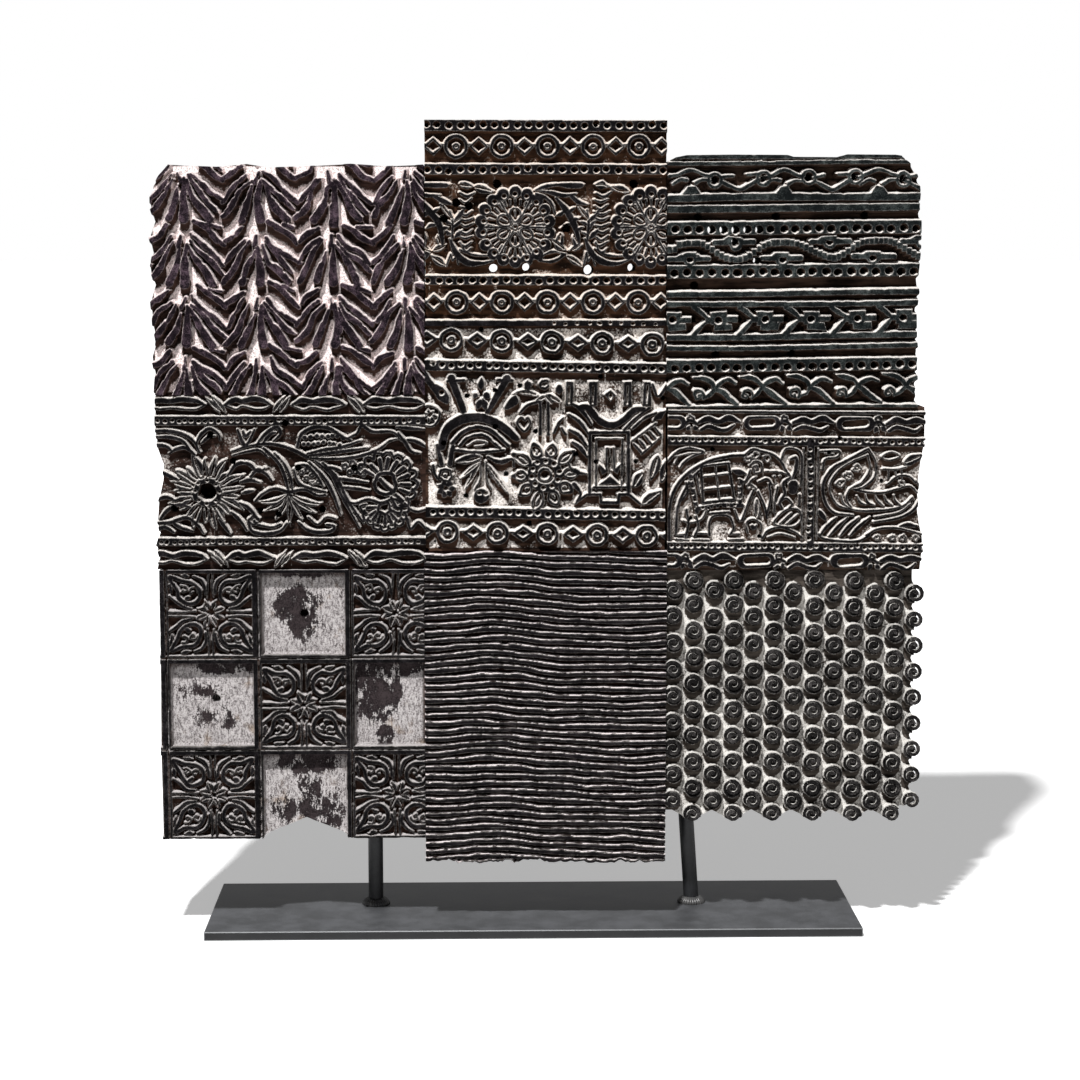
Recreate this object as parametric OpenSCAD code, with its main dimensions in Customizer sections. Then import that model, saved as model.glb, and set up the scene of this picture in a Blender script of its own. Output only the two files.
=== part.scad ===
// Nine hand-carved textile printing blocks, set edge to edge as a panel on a welded steel stand.
// X runs to the right, Y away from the viewer and Z up. The origin is the middle of the plate's underside.

/* [Base plate] */
// Width of the plate, left to right
plate_w = 430; // [320:5:520]
// Depth of the plate, front to back
plate_d = 120; // [100:5:180]
// Thickness of the plate
plate_t = 6; // [4:0.5:10]
// Corner radius of the plate
plate_r = 4; // [1:0.5:12]

/* [Posts] */
// Diameter of the two round posts
post_dia = 10; // [8:0.5:13]
// Distance between the feet of the posts
post_span = 214; // [195:1:222]
// How far the pair of feet stands right of the plate's middle
post_shift = 1; // [-4:0.5:6]
// How far the posts stand behind the plate's middle
post_back = 6; // [0:0.5:15]
// Lean of the right post towards the left, in degrees
right_lean = 3.9; // [0:0.1:4.5]
// How far the posts rise past the top bar
post_rise = 6; // [2:1:12]

/* [Welds] */
// Width of the weld round each foot, on the plate
foot_weld_w = 4.5; // [3:0.5:7]
// Height of the weld round each foot, up the post
foot_weld_h = 5; // [3:0.5:8]
// Leg of the welds between the bars and the posts
bar_weld = 3; // [2:0.5:4]

/* [Bars] */
// Height of the flat bars behind the blocks
bar_h = 20; // [16:1:24]
// Thickness of the flat bars
bar_t = 3; // [2:0.5:5]
// How far each bar runs past its outer screws
bar_overhang = 15; // [8:1:25]
// How far the top bar's middle lies below the lowest top edge of the upper blocks
top_bar_drop = 24; // [16:1:34]

/* [Screws] */
// Diameter of the wood screws
screw_dia = 4; // [3:0.5:5]
// Depth that a screw reaches into its block
screw_grip = 18; // [15:1:28]
// Diameter of the screw heads
head_dia = 8.5; // [7:0.5:10]
// Height of the screw heads
head_h = 2.6; // [2:0.2:4]
// Distance between the two screws of a block
screw_pitch = 70; // [50:1:78]
// Distance from a post to the nearest screw of the outer blocks
screw_off_post = 16; // [14:1:24]
// Play of a screw in the bar's hole, on the diameter
bar_hole_play = 0.5; // [0.2:0.1:1]
// Play of a screw in its pilot hole, on the diameter
pilot_play = 0.1; // [0.05:0.05:0.3]

/* [Blocks] */
// Thickness of every block, from its back to its printing face
block_t = 40; // [30:1:60]
// Depth of the carving
carve_d = 8; // [4:0.5:12]
// Seam between neighbouring blocks
seam = 0.5; // [0.3:0.1:2]

/* [Left column] */
// Height of the lowest left block above the ground
left_bottom = 63.5; // [50:0.5:75]
// Width of the chevron block
chevron_w = 174; // [150:1:190]
// Height of the chevron block
chevron_h = 146; // [130:1:160]
// Width of the floral block
floral_w = 172; // [160:1:190]
// Height of the floral block
floral_h = 112.5; // [105:0.5:125]
// Width of the chequer block
chequer_w = 171.75; // [160:0.25:185]
// Height of the chequer block
chequer_h = 177; // [170:1:190]

/* [Middle column] */
// Where the middle column's centre line lies, right of the plate's middle
middle_x = 7.75; // [0:0.25:15]
// Height of the lowest middle block above the ground
middle_bottom = 46; // [30:1:60]
// Width of the rosette block
rosette_w = 153.5; // [145:0.5:165]
// Height of the rosette block
rosette_h = 129.5; // [120:0.5:140]
// Width of the pictorial block
pictorial_w = 154.5; // [145:0.5:165]
// Height of the pictorial block
pictorial_h = 145; // [138:1:155]
// Width of the ribbed block
ribbed_w = 157; // [145:1:170]
// Height of the ribbed block
ribbed_h = 206; // [190:1:220]

/* [Right column] */
// Height of the lowest right block above the ground
right_bottom = 72; // [60:0.5:85]
// Width of the banded block
banded_w = 162.5; // [150:0.5:180]
// Height of the banded block
banded_h = 161; // [155:1:175]
// Width of the elephant block
elephant_w = 166; // [160:1:180]
// Height of the elephant block
elephant_h = 105.5; // [102:0.5:115]
// Width of the spiral block
spiral_w = 166; // [150:1:180]
// Height of the spiral block
spiral_h = 167; // [150:1:180]

/* [Borders] */
// Width of the rails that carry rows of drilled dots
rail_w = 6; // [4.5:0.5:7]
// Diameter of the drilled dots
dot_dia = 4; // [2.5:0.5:5]
// Distance between drilled dots
dot_pitch = 7.2; // [6:0.2:9]
// Diameter of the small beads on the fine rails
bead_dia = 2.4; // [1.6:0.2:3]
// Distance between the small beads
bead_pitch = 4.2; // [3.8:0.2:6]
// Outer diameter of the border rings
ring_dia = 14; // [11:0.5:16]
// Distance between the border rings
ring_pitch = 29; // [27:0.5:34]
// Size of the diamonds between the rings, corner to corner
diamond = 11; // [8:0.5:13]
// Width of a carved line
line_w = 2; // [1.5:0.1:2.6]

/* [Patterns] */
// Distance between the chevron columns
chevron_pitch = 47; // [42:1:54]
// Distance between the chevron rows
chevron_rise = 39.5; // [36:0.5:44]
// Width of a chevron leaf
leaf_w = 5; // [3:0.5:6]
// Corner-to-corner size of a chequer square, with its frame
tile_pitch = 60; // [54:1:64]
// Width of the chequer frame
tile_frame = 6; // [4:0.5:8]
// Width of the notch in the chequer block's lower edge
notch_w = 54; // [40:1:56]
// Depth of that notch
notch_h = 12.5; // [8:0.5:16]
// Distance between the ribs
rib_pitch = 4.9; // [4.2:0.1:6]
// Width of a rib
rib_w = 2.7; // [2:0.1:3.2]
// How far a rib wanders up and down
rib_wave = 1.6; // [0:0.1:2.5]
// Diameter of the spiral studs
stud_dia = 11.6; // [9:0.2:12.4]
// Distance between the stud columns
stud_step = 13.1; // [12.6:0.1:15]
// Distance between the studs of a column
stud_rise = 17.4; // [16:0.2:20]
// Diameter of the vent holes
vent_dia = 5; // [3:0.5:6]

/* [Hidden] */
$fn = 48;

steel = "#3a3a3c";
screw_steel = "#8f8f92";
black_wood = "#2a2628";
brown_wood = "#4a3a33";

// How far a cut runs past the face that it opens, and how far carving is rooted in its block
past = 1;
root_depth = 0.5;

post_r = post_dia / 2;
bar_back_y = post_back - post_r;
block_back_y = bar_back_y - bar_t;
slab_t = block_t - carve_d;
slab_front_y = block_back_y - slab_t;

// Blocks as [left edge, lower edge, width, height]
ribbed = [middle_x - ribbed_w / 2, middle_bottom, ribbed_w, ribbed_h];
pictorial = [middle_x - pictorial_w / 2, top_of(ribbed) + seam, pictorial_w, pictorial_h];
rosette = [middle_x - rosette_w / 2, top_of(pictorial) + seam, rosette_w, rosette_h];
chequer = left_block(left_bottom, chequer_w, chequer_h);
floral = left_block(top_of(chequer) + seam, floral_w, floral_h);
chevron = left_block(top_of(floral) + seam, chevron_w, chevron_h);
spiral = right_block(right_bottom, spiral_w, spiral_h);
elephant = right_block(top_of(spiral) + seam, elephant_w, elephant_h);
banded = right_block(top_of(elephant) + seam, banded_w, banded_h);

top_row = [chevron, rosette, banded];
middle_row = [floral, pictorial, elephant];
bottom_row = [chequer, ribbed, spiral];
top_bar_z = min([for (b = top_row) top_of(b)]) - top_bar_drop;
middle_bar_z = shared_height(middle_row);
bottom_bar_z = shared_height(bottom_row);
bar_heights = [bottom_bar_z, middle_bar_z, top_bar_z];
post_top = top_bar_z + bar_h / 2 + post_rise;
left_foot = post_shift - post_span / 2;
right_foot = post_shift + post_span / 2;

function top_of(b) = b[1] + b[3];
function covers(b, x) = b[0] < x && x < b[0] + b[2];
// Half the width of the widest middle block that lies beside the stretch from z up by h
function half_beside(z, h) = max([for (b = [ribbed, pictorial, rosette])
    if (b[1] < z + h + seam && top_of(b) + seam > z) b[2] / 2]);
function left_block(z, w, h) = [middle_x - half_beside(z, h) - seam - w, z, w, h];
function right_block(z, w, h) = [middle_x + half_beside(z, h) + seam, z, w, h];
// Middle of the height that all blocks of a row share
function shared_height(row) = (max([for (b = row) b[1]]) + min([for (b = row) top_of(b)])) / 2;
// Screws of a row of blocks, from left to right: two in the left, the middle and the right block
screw_places = [
    left_foot - screw_off_post - screw_pitch, left_foot - screw_off_post,
    middle_x - screw_pitch / 2, middle_x + screw_pitch / 2,
    right_foot + screw_off_post, right_foot + screw_off_post + screw_pitch
];
// How many copies fit in a length, and where the first of them goes when they are centred
function copies(length, pitch) = floor(length / pitch);
function first_place(length, pitch) = (length - (copies(length, pitch) - 1) * pitch) / 2;
function mix(a, b, t) = a + (b - a) * t;
function bend(a, b, c, t) = mix(mix(a, b, t), mix(b, c, t), t);

// Flat shapes that the carvings are drawn with

module leaf(length, width) {
    r = (length * length + width * width) / (4 * width);
    intersection() {
        translate([length / 2, r - width / 2]) circle(r);
        translate([length / 2, width / 2 - r]) circle(r);
    }
}

module ring(dia, width = line_w) {
    difference() {
        circle(d = dia);
        circle(d = dia - 2 * width);
    }
}

module capsule(length, width) {
    translate([-length / 2, 0]) circle(d = width);
    translate([length / 2, 0]) circle(d = width);
    translate([-length / 2, -width / 2]) square([length, width]);
}

module petals(count, from, length, width) {
    for (i = [0 : count - 1])
        rotate(360 * (i + 0.5) / count) translate([from, 0]) leaf(length, width);
}

module flower(count, eye, length, width) {
    petals(count, eye / 2 + line_w / 2, length, width);
    ring(eye);
}

// A ribbon along a curve from a to c that bends towards b
module ribbon(a, b, c, width = line_w, steps = 7) {
    at = [for (i = [0 : steps]) bend(a, b, c, i / steps)];
    along = [for (i = [0 : steps]) at[min(i + 1, steps)] - at[max(i - 1, 0)]];
    side = [for (v = along) [-v.y, v.x] * width / 2 / norm(v)];
    polygon(concat([for (i = [0 : steps]) at[i] + side[i]],
        [for (i = [steps : -1 : 0]) at[i] - side[i]]));
}

// A rail along x with a row of holes, its lower edge at y = 0
module drilled_rail(length, width, dia, pitch) {
    difference() {
        square([length, width]);
        for (i = [0 : copies(length, pitch) - 1])
            translate([first_place(length, pitch) + i * pitch, width / 2]) circle(d = dia, $fn = 24);
    }
}

module bead_rail(length) {
    drilled_rail(length, bead_dia + line_w, bead_dia, bead_pitch);
}

// Rings with a dot in the eye, diamonds between them, centred on y = 0
module ring_row(length) {
    first = first_place(length, ring_pitch);
    for (i = [0 : copies(length, ring_pitch) - 1])
        translate([first + i * ring_pitch, 0]) {
            ring(ring_dia);
            circle(d = ring_dia / 4, $fn = 24);
            if (i < copies(length, ring_pitch) - 1) translate([ring_pitch / 2, 0]) rotate(45)
                difference() {
                    square(diamond / sqrt(2), center = true);
                    square(diamond / sqrt(2) - 1.4 * line_w, center = true);
                }
        }
}

// Waves side by side over a length, each rising to the height and falling again
module stepped_wave(length, height, count) {
    pitch = (length - 2 * line_w) / count;
    for (i = [0 : count - 1]) translate([line_w + i * pitch, 0]) {
        ribbon([0, 0], [pitch / 4, 0], [pitch / 2, height], line_w * 1.4);
        ribbon([pitch / 2, height], [pitch * 3 / 4, height], [pitch, 0], line_w * 1.4);
    }
}

// Placing and building the blocks

// Puts a drawing on a block: drawing x runs right, drawing y up, and the solid grows to the front
module on_block(b, y) {
    translate([b[0], y, b[1]]) rotate([90, 0, 0]) children();
}

module screw_bores(places, z, dia, y, depth) {
    for (x = places) translate([x, y, z]) rotate([90, 0, 0]) cylinder(d = dia, h = depth);
}

// First child: the block's outline. Second: its carving. Third: holes that go right through.
module carved_block(b, bar_z, tone) {
    color(tone) difference() {
        union() {
            on_block(b, block_back_y) linear_extrude(slab_t) children(0);
            on_block(b, slab_front_y + root_depth) linear_extrude(carve_d + root_depth) children(1);
        }
        screw_bores([for (x = screw_places) if (covers(b, x)) x], bar_z,
            screw_dia + pilot_play, block_back_y + past, screw_grip + 2 * past);
        if ($children > 2) on_block(b, block_back_y + past)
            linear_extrude(block_t + 2 * past) children(2);
    }
}

// The blocks

module chevron_cell() {
    for (side = [-1, 1]) {
        for (level = [0.12, 0.36, 0.6])
            translate([side * line_w / 2, level * chevron_rise])
                rotate(90 - side * 45) leaf(chevron_pitch / 2, leaf_w);
        translate([side * (chevron_pitch / 2 - line_w), 0])
            rotate(90 + side * 6) leaf(chevron_rise * 0.7, leaf_w);
    }
}

module chevron_block() {
    rows = ceil(chevron_h / chevron_rise);
    first = first_place(chevron_w, chevron_pitch);
    corner = 14;
    carved_block(chevron, top_bar_z, black_wood) {
        union() {
            square([chevron_w, chevron_h - corner]);
            translate([corner, chevron_h - corner]) square([chevron_w - corner, corner]);
            translate([corner, chevron_h - corner]) circle(corner);
        }
        intersection() {
            translate([line_w, line_w])
                square([chevron_w - 2 * line_w, chevron_h - 2 * line_w - corner / 4]);
            for (row = [0 : rows - 1], col = [0 : copies(chevron_w, chevron_pitch) - 1])
                translate([first + col * chevron_pitch, row * chevron_rise - line_w]) chevron_cell();
        }
    }
}

module leafy_border(length) {
    unit = 42;
    for (i = [0 : copies(length, unit) - 1]) translate([first_place(length, unit) + i * unit, 0]) {
        translate([-5, 0]) capsule(22, 7.5);
        translate([19, -4]) rotate(75) leaf(9, 4);
    }
}

module floral_block() {
    border_h = 7;
    rail_h = bead_dia + line_w;
    low_rail = 2 * border_h + line_w;
    high_rail = floral_h - low_rail - rail_h;
    mid = floral_h / 2;
    carved_block(floral, middle_bar_z, black_wood) {
        square([floral_w, floral_h]);
        union() {
            translate([0, border_h]) leafy_border(floral_w);
            translate([0, floral_h - border_h]) leafy_border(floral_w);
            translate([0, low_rail]) bead_rail(floral_w);
            translate([0, high_rail]) bead_rail(floral_w);
            translate([35, mid - 3]) flower(14, 12, 20, 5);
            translate([92, mid - 8]) flower(9, 7, 15, 5);
            translate([150, mid + 2]) flower(12, 9, 17, 5);
            ribbon([76, mid + 14], [100, mid + 32], [132, mid + 22], 3);
            ribbon([112, mid - 25], [128, mid - 6], [120, mid + 14], 3);
            ribbon([66, mid + 27], [78, mid + 20], [84, mid + 30], 3);
        }
        translate([52, mid + 25]) circle(d = vent_dia);
    }
}

module ornament_tile(size) {
    scroll = size / 2 - line_w;
    flower(8, 5, scroll * 0.4, 4);
    for (i = [0 : 3]) rotate(90 * i) {
        translate([scroll * 0.56, scroll * 0.56]) {
            ring(scroll * 0.8);
            circle(d = scroll * 0.34, $fn = 24);
        }
        translate([scroll * 0.66, -line_w / 2]) square([scroll * 0.33, line_w]);
    }
}

module chequer_block() {
    bars_x = [for (i = [0 : floor(chequer_w / tile_pitch)]) i * tile_pitch];
    bars_y = [for (i = [0 : 2]) i * tile_pitch];
    carved_block(chequer, bottom_bar_z, black_wood) {
        difference() {
            square([chequer_w, chequer_h]);
            notch_outline();
        }
        intersection() {
            difference() {
                square([chequer_w, chequer_h]);
                notch_outline();
            }
            union() {
                for (x = bars_x) translate([x, 0]) square([tile_frame, chequer_h]);
                for (y = bars_y) translate([0, y]) square([chequer_w, tile_frame]);
                translate([0, chequer_h - tile_frame / 2]) square([chequer_w, tile_frame / 2]);
                for (col = [0 : 2], row = [0 : 2]) if ((col + row) % 2 == 0)
                    translate(tile_centre(col, row)) ornament_tile(tile_pitch - tile_frame);
            }
        }
        for (at = [tile_centre(1, 2), tile_centre(0, 1)]) translate(at) circle(d = vent_dia);
    }
}

function tile_centre(col, row) = [col + 0.5, row + 0.5] * tile_pitch + [1, 1] * tile_frame / 2;

module notch_outline() {
    translate([tile_centre(1, 0).x, 0])
        polygon([[-notch_w / 2, -past], [-notch_w / 2, 0], [0, notch_h],
            [notch_w / 2, 0], [notch_w / 2, -past]]);
}

module rosette(dia) {
    flower(8, dia * 0.12, dia * 0.2, dia * 0.11);
    ring(dia * 0.68);
    petals(18, dia * 0.36, dia * 0.14, dia * 0.08);
}

module rosette_block() {
    row_gap = ring_dia + 2 * line_w + 1;
    field_low = 2 * rail_w + row_gap;
    field_high = rosette_h - 2 * rail_w - row_gap;
    mid = (field_low + field_high) / 2;
    dia = 46;
    first_flower = 57.5;
    flower_pitch = 86.5;
    carved_block(rosette, top_bar_z, black_wood) {
        square([rosette_w, rosette_h]);
        union() {
            for (y = [0, rail_w + row_gap, rosette_h - 2 * rail_w - row_gap, rosette_h - rail_w])
                translate([0, y]) drilled_rail(rosette_w, rail_w, dot_dia, dot_pitch);
            for (y = [rail_w + row_gap / 2, rosette_h - rail_w - row_gap / 2])
                translate([0, y]) ring_row(rosette_w);
            intersection() {
                square([rosette_w, rosette_h]);
                for (x = [first_flower, first_flower + flower_pitch]) translate([x, mid]) {
                    rosette(dia);
                    for (lean = [80, 100])
                        translate([-0.75 * dia, -0.4 * dia]) rotate(lean) leaf(0.7 * dia, 7);
                }
            }
        }
        for (x = [43.5, 64.5, 104.5, 132]) translate([x, field_low + vent_dia]) circle(d = vent_dia);
    }
}

module pictorial_block() {
    row_gap = ring_dia + 2 * line_w + 3;
    low = row_gap + rail_w;
    high = pictorial_h - row_gap - rail_w;
    mid = (low + high) / 2;
    carved_block(pictorial, middle_bar_z, black_wood) {
        square([pictorial_w, pictorial_h]);
        union() {
            for (y = [row_gap / 2, pictorial_h - row_gap / 2]) translate([0, y]) ring_row(pictorial_w);
            for (y = [row_gap, high]) translate([0, y]) drilled_rail(pictorial_w, rail_w, dot_dia, dot_pitch);
            translate([34, mid - 5]) intersection() {
                translate([-30, 0]) square([60, 30]);
                for (dia = [54, 40, 26]) ring(dia, 3);
            }
            translate([7, mid - 9]) square([54, 3]);
            for (lean = [-30, 0, 30]) translate([34, mid - 11]) rotate(-90 + lean) leaf(22, 5);
            translate([77, mid - 16]) flower(12, 14, 9, 4);
            translate([75.5, mid + 4]) square([3, 20]);
            for (lean = [-70, -35, 35, 70]) translate([77, mid + 22]) rotate(90 + lean) leaf(14, 4);
            translate([118, mid - 14]) difference() {
                square([28, 42], center = true);
                square([22, 36], center = true);
            }
            translate([118, mid - 14]) square([8, 20], center = true);
            ribbon([98, mid + 9], [118, mid + 36], [146, mid + 9], 4);
            for (x = [96, 108, 130, 142]) translate([x, high - 14]) square([4, 12]);
        }
    }
}

module ribbed_block() {
    steps = 8;
    room = ribbed_h - 2 * rib_wave;
    carved_block(ribbed, bottom_bar_z, black_wood) {
        square([ribbed_w, ribbed_h]);
        for (i = [0 : copies(room, rib_pitch) - 1]) {
            y = rib_wave + first_place(room, rib_pitch) + i * rib_pitch;
            line = [for (s = [0 : steps])
                [ribbed_w * s / steps, y + rib_wave * sin(360 * s / steps + 3 * i)]];
            polygon(concat([for (p = line) p + [0, rib_w / 2]],
                [for (s = [steps : -1 : 0]) line[s] - [0, rib_w / 2]]));
        }
    }
}

module banded_block() {
    rail = 4;
    // Heights of the plain rails, of the drilled rails and of the patterned bands, from the lower edge
    plain = [0, 36, 45, 64, 72, 126, 134, 155];
    drilled = [23, 84, 111];
    wide_pitch = dot_pitch * 1.1;
    carved_block(banded, top_bar_z, black_wood) {
        square([banded_w, banded_h]);
        union() {
            for (y = plain) translate([0, y]) square([banded_w, rail]);
            for (y = drilled) translate([0, y]) drilled_rail(banded_w, rail_w, dot_dia, wide_pitch);
            for (i = [0 : copies(banded_w, 27) - 1]) translate([first_place(banded_w, 27) + i * 27, 0]) {
                translate([0, 146]) ring(11);
                translate([-5, 51]) difference() {
                    square([10, 9]);
                    translate([5, 4.5]) circle(d = dot_dia, $fn = 24);
                }
                ribbon([-10, 20], [0, 6], [10, 6]);
                ribbon([-10, 6], [0, 20], [10, 20]);
            }
            translate([0, 93]) stepped_wave(banded_w, 14, 3);
        }
        for (i = [3 : 7])
            translate([first_place(banded_w, wide_pitch) + i * wide_pitch, drilled[2] + rail_w / 2])
                circle(d = dot_dia + line_w / 4);
    }
}

module elephant() {
    ribbon([4, 20], [0, 48], [22, 70], 3);
    ribbon([20, 69], [42, 82], [66, 72], 3);
    ribbon([65, 73], [76, 66], [74, 56], 3);
    ribbon([74, 57], [66, 34], [84, 38], 3);
    ribbon([8, 36], [30, 28], [52, 40], 3);
    for (x = [8, 17, 44, 58]) translate([x, 20]) square([3.5, 16]);
    translate([20, 44]) difference() {
        square([24, 26]);
        for (x = [3, 13.5], y = [3, 14.5]) translate([x, y]) square([7.5, 8.5]);
    }
    translate([62, 62]) ring(6);
    ribbon([50, 66], [60, 46], [52, 42], 3);
    ribbon([80, 50], [92, 84], [76, 74], 3);
}

module peacock() {
    for (i = [0 : 2])
        ribbon([12 + 6 * i, 36], [2 + 10 * i, 62 + 2 * i], [33 - i, 78 - 7 * i], 2.5);
    ribbon([34, 76], [42, 60], [22, 50], 2.5);
    ribbon([20, 38], [44, 30], [66, 46], 3);
    ribbon([30, 50], [50, 40], [64, 58], 3);
    translate([56, 62]) ring(9);
    translate([52, 72]) ring(7);
    for (i = [0 : 3]) ribbon([12 + 7 * i, 22], [16 + 7 * i, 30], [24 + 7 * i, 33]);
}

module oval_border(length) {
    unit = 58;
    for (i = [0 : copies(length, unit) - 1]) translate([first_place(length, unit) + i * unit, 0]) {
        difference() {
            capsule(15, 8);
            capsule(15, 4);
        }
        ribbon([14, -2], [24, 6], [29, 0], 3);
        ribbon([29, 0], [35, -6], [43, 2], 3);
    }
}

module elephant_block() {
    border = 10;
    rail_h = bead_dia + line_w;
    low_rail = border + line_w;
    high_rail = elephant_h - border - line_w - rail_h;
    divider = 91;
    carved_block(elephant, middle_bar_z, black_wood) {
        square([elephant_w, elephant_h]);
        union() {
            translate([0, border / 2]) oval_border(elephant_w);
            translate([0, elephant_h - border / 2]) oval_border(elephant_w);
            translate([0, low_rail]) bead_rail(elephant_w);
            translate([0, high_rail]) bead_rail(elephant_w);
            translate([divider + rail_h, low_rail]) rotate(90) bead_rail(high_rail - low_rail);
            translate([0, -1]) elephant();
            translate([98, -1]) peacock();
        }
    }
}

module spiral_outline(edge) {
    polygon(concat([[0, stud_rise / 3]], edge,
        [[spiral_w, stud_rise / 3], [spiral_w, spiral_h], [0, spiral_h]]));
}

// The outer columns and the topmost studs are cut off by the edges of the block
module spiral_block() {
    columns = round(spiral_w / stud_step);
    first = (spiral_w - (columns - 1) * stud_step) / 2;
    // Lower edge that follows the staggered columns
    edge = [for (i = [0 : columns - 1]) [first + i * stud_step, i % 2 == 0 ? stud_rise / 2 : 0]];
    carved_block(spiral, bottom_bar_z, brown_wood) {
        spiral_outline(edge);
        intersection() {
            spiral_outline(edge);
            for (i = [0 : columns - 1]) {
                low = edge[i].y + stud_dia / 2 + line_w / 2;
                for (y = [low : stud_rise : spiral_h])
                    translate([edge[i].x, y]) circle(d = stud_dia);
            }
        }
    }
}

// The stand

module base_plate() {
    inner = [plate_w / 2 - plate_r, plate_d / 2 - plate_r];
    color(steel) linear_extrude(plate_t) {
        square([plate_w, plate_d - 2 * plate_r], center = true);
        square([plate_w - 2 * plate_r, plate_d], center = true);
        for (sx = [-1, 1], sy = [-1, 1]) translate([sx * inner.x, sy * inner.y]) circle(plate_r);
    }
}

// Places its children at a foot, turned so that z runs up the post
module at_foot(x, lean) {
    translate([x, post_back, plate_t]) rotate([0, -lean, 0]) children();
}

module post_rod(x, lean) {
    long = (post_top - plate_t) / cos(lean);
    intersection() {
        at_foot(x, lean) translate([0, 0, -post_dia]) cylinder(d = post_dia, h = long + 2 * post_dia);
        translate([-plate_w, post_back - post_dia, plate_t])
            cube([2 * plate_w, 2 * post_dia, post_top - plate_t]);
    }
}

module foot_weld(x, lean) {
    difference() {
        translate([x, post_back, plate_t]) rotate_extrude() polygon([
            [0, 0], [post_r + foot_weld_w, 0], [post_r + foot_weld_w * 0.8, foot_weld_h * 0.4],
            [post_r + foot_weld_w * 0.25, foot_weld_h], [0, foot_weld_h]]);
        at_foot(x, lean) translate([0, 0, -post_dia]) cylinder(d = post_dia, h = foot_weld_h + 2 * post_dia);
    }
}

// Fillet welds on both sides of a post, at every bar
module bar_welds(x, lean) {
    root = post_r * 0.3;
    toe = post_r * 0.7 + bar_weld;
    long = bar_h * 0.8;
    for (z = bar_heights, side = [0, 1])
        at_foot(x, lean) translate([0, 0, (z - plate_t) / cos(lean) - long / 2])
            mirror([side, 0, 0]) linear_extrude(long) difference() {
                polygon([[root, -post_r], [toe, -post_r],
                    [post_r * 0.94, -post_r * 0.34], [root, -post_r / 2]]);
                circle(post_r);
            }
}

module flat_bar(z) {
    from = min(screw_places) - bar_overhang;
    to = max(screw_places) + bar_overhang;
    color(steel) difference() {
        translate([from, block_back_y, z - bar_h / 2]) cube([to - from, bar_t, bar_h]);
        screw_bores(screw_places, z, screw_dia + bar_hole_play, bar_back_y + past, bar_t + 2 * past);
    }
}

module wood_screw() {
    r = screw_dia / 2;
    long = bar_t + screw_grip;
    head_r = head_dia / 2;
    slot = head_dia * 0.14;
    difference() {
        rotate_extrude() polygon([[0, -long], [r, screw_dia - long], [r, 0], [head_r, 0],
            [head_r, head_h * 0.4], [head_r * 0.7, head_h], [0, head_h]]);
        for (turn = [0, 90]) rotate(turn) translate([-head_r * 0.55, -slot / 2, head_h * 0.5])
            cube([head_r * 1.1, slot, head_h]);
    }
}

module bar_screws(z) {
    color(screw_steel) for (x = screw_places)
        translate([x, bar_back_y, z]) rotate([-90, 0, 0]) wood_screw();
}

module left_post() { color(steel) post_rod(left_foot, 0); }
module right_post() { color(steel) post_rod(right_foot, right_lean); }
module left_post_weld() { color(steel) foot_weld(left_foot, 0); }
module right_post_weld() { color(steel) foot_weld(right_foot, right_lean); }
module left_bar_welds() { color(steel) bar_welds(left_foot, 0); }
module right_bar_welds() { color(steel) bar_welds(right_foot, right_lean); }
module top_bar() { flat_bar(top_bar_z); }
module middle_bar() { flat_bar(middle_bar_z); }
module bottom_bar() { flat_bar(bottom_bar_z); }
module top_bar_screws() { bar_screws(top_bar_z); }
module middle_bar_screws() { bar_screws(middle_bar_z); }
module bottom_bar_screws() { bar_screws(bottom_bar_z); }

base_plate();
left_post();
right_post();
left_post_weld();
right_post_weld();
top_bar();
middle_bar();
bottom_bar();
left_bar_welds();
right_bar_welds();
top_bar_screws();
middle_bar_screws();
bottom_bar_screws();
chevron_block();
floral_block();
chequer_block();
rosette_block();
pictorial_block();
ribbed_block();
banded_block();
elephant_block();
spiral_block();
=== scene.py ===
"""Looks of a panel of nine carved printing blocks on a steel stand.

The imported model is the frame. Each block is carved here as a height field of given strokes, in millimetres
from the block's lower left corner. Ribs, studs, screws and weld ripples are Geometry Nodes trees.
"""
import logging
import math
from collections.abc import Iterator, Sequence
from contextlib import contextmanager
from dataclasses import dataclass, field
from enum import Enum

import bmesh
import bpy
import numpy as np
from bpy.types import Material, Mesh, Node, NodeSocket, NodeTree
from mathutils import Matrix, Vector
from mathutils.geometry import delaunay_2d_cdt


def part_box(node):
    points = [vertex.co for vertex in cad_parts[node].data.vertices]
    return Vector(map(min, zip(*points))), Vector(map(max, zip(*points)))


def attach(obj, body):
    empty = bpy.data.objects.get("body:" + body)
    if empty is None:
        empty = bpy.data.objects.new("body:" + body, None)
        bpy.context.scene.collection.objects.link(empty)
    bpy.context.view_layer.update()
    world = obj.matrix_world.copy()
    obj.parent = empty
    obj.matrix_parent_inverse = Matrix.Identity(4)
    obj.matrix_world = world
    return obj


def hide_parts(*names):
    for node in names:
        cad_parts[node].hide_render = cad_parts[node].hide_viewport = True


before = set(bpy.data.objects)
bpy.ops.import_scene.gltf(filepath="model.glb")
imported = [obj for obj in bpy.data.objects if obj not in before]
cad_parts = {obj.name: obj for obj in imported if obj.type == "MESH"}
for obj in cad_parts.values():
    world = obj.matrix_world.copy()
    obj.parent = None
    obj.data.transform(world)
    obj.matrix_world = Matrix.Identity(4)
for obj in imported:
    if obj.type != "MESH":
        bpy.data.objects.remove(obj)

LOG = logging.getLogger("panel")
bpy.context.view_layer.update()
BODY = "root"
MM = 0.001
FAR = 40.0
SEAM = np.array([0.2, 0.0, 0.2])
PATH_STEP = 1.1
HAND_STEP = 0.5
HAND_CELLS = 400
MARGIN = 16.0
SHARP = math.radians(40)
PLATE_SHARP = math.radians(35)
LEAST_SLOPE = 0.3
SNAP = 0.45
RIM_LIMIT = 4.0
FACE_SINK = 0.2
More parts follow.
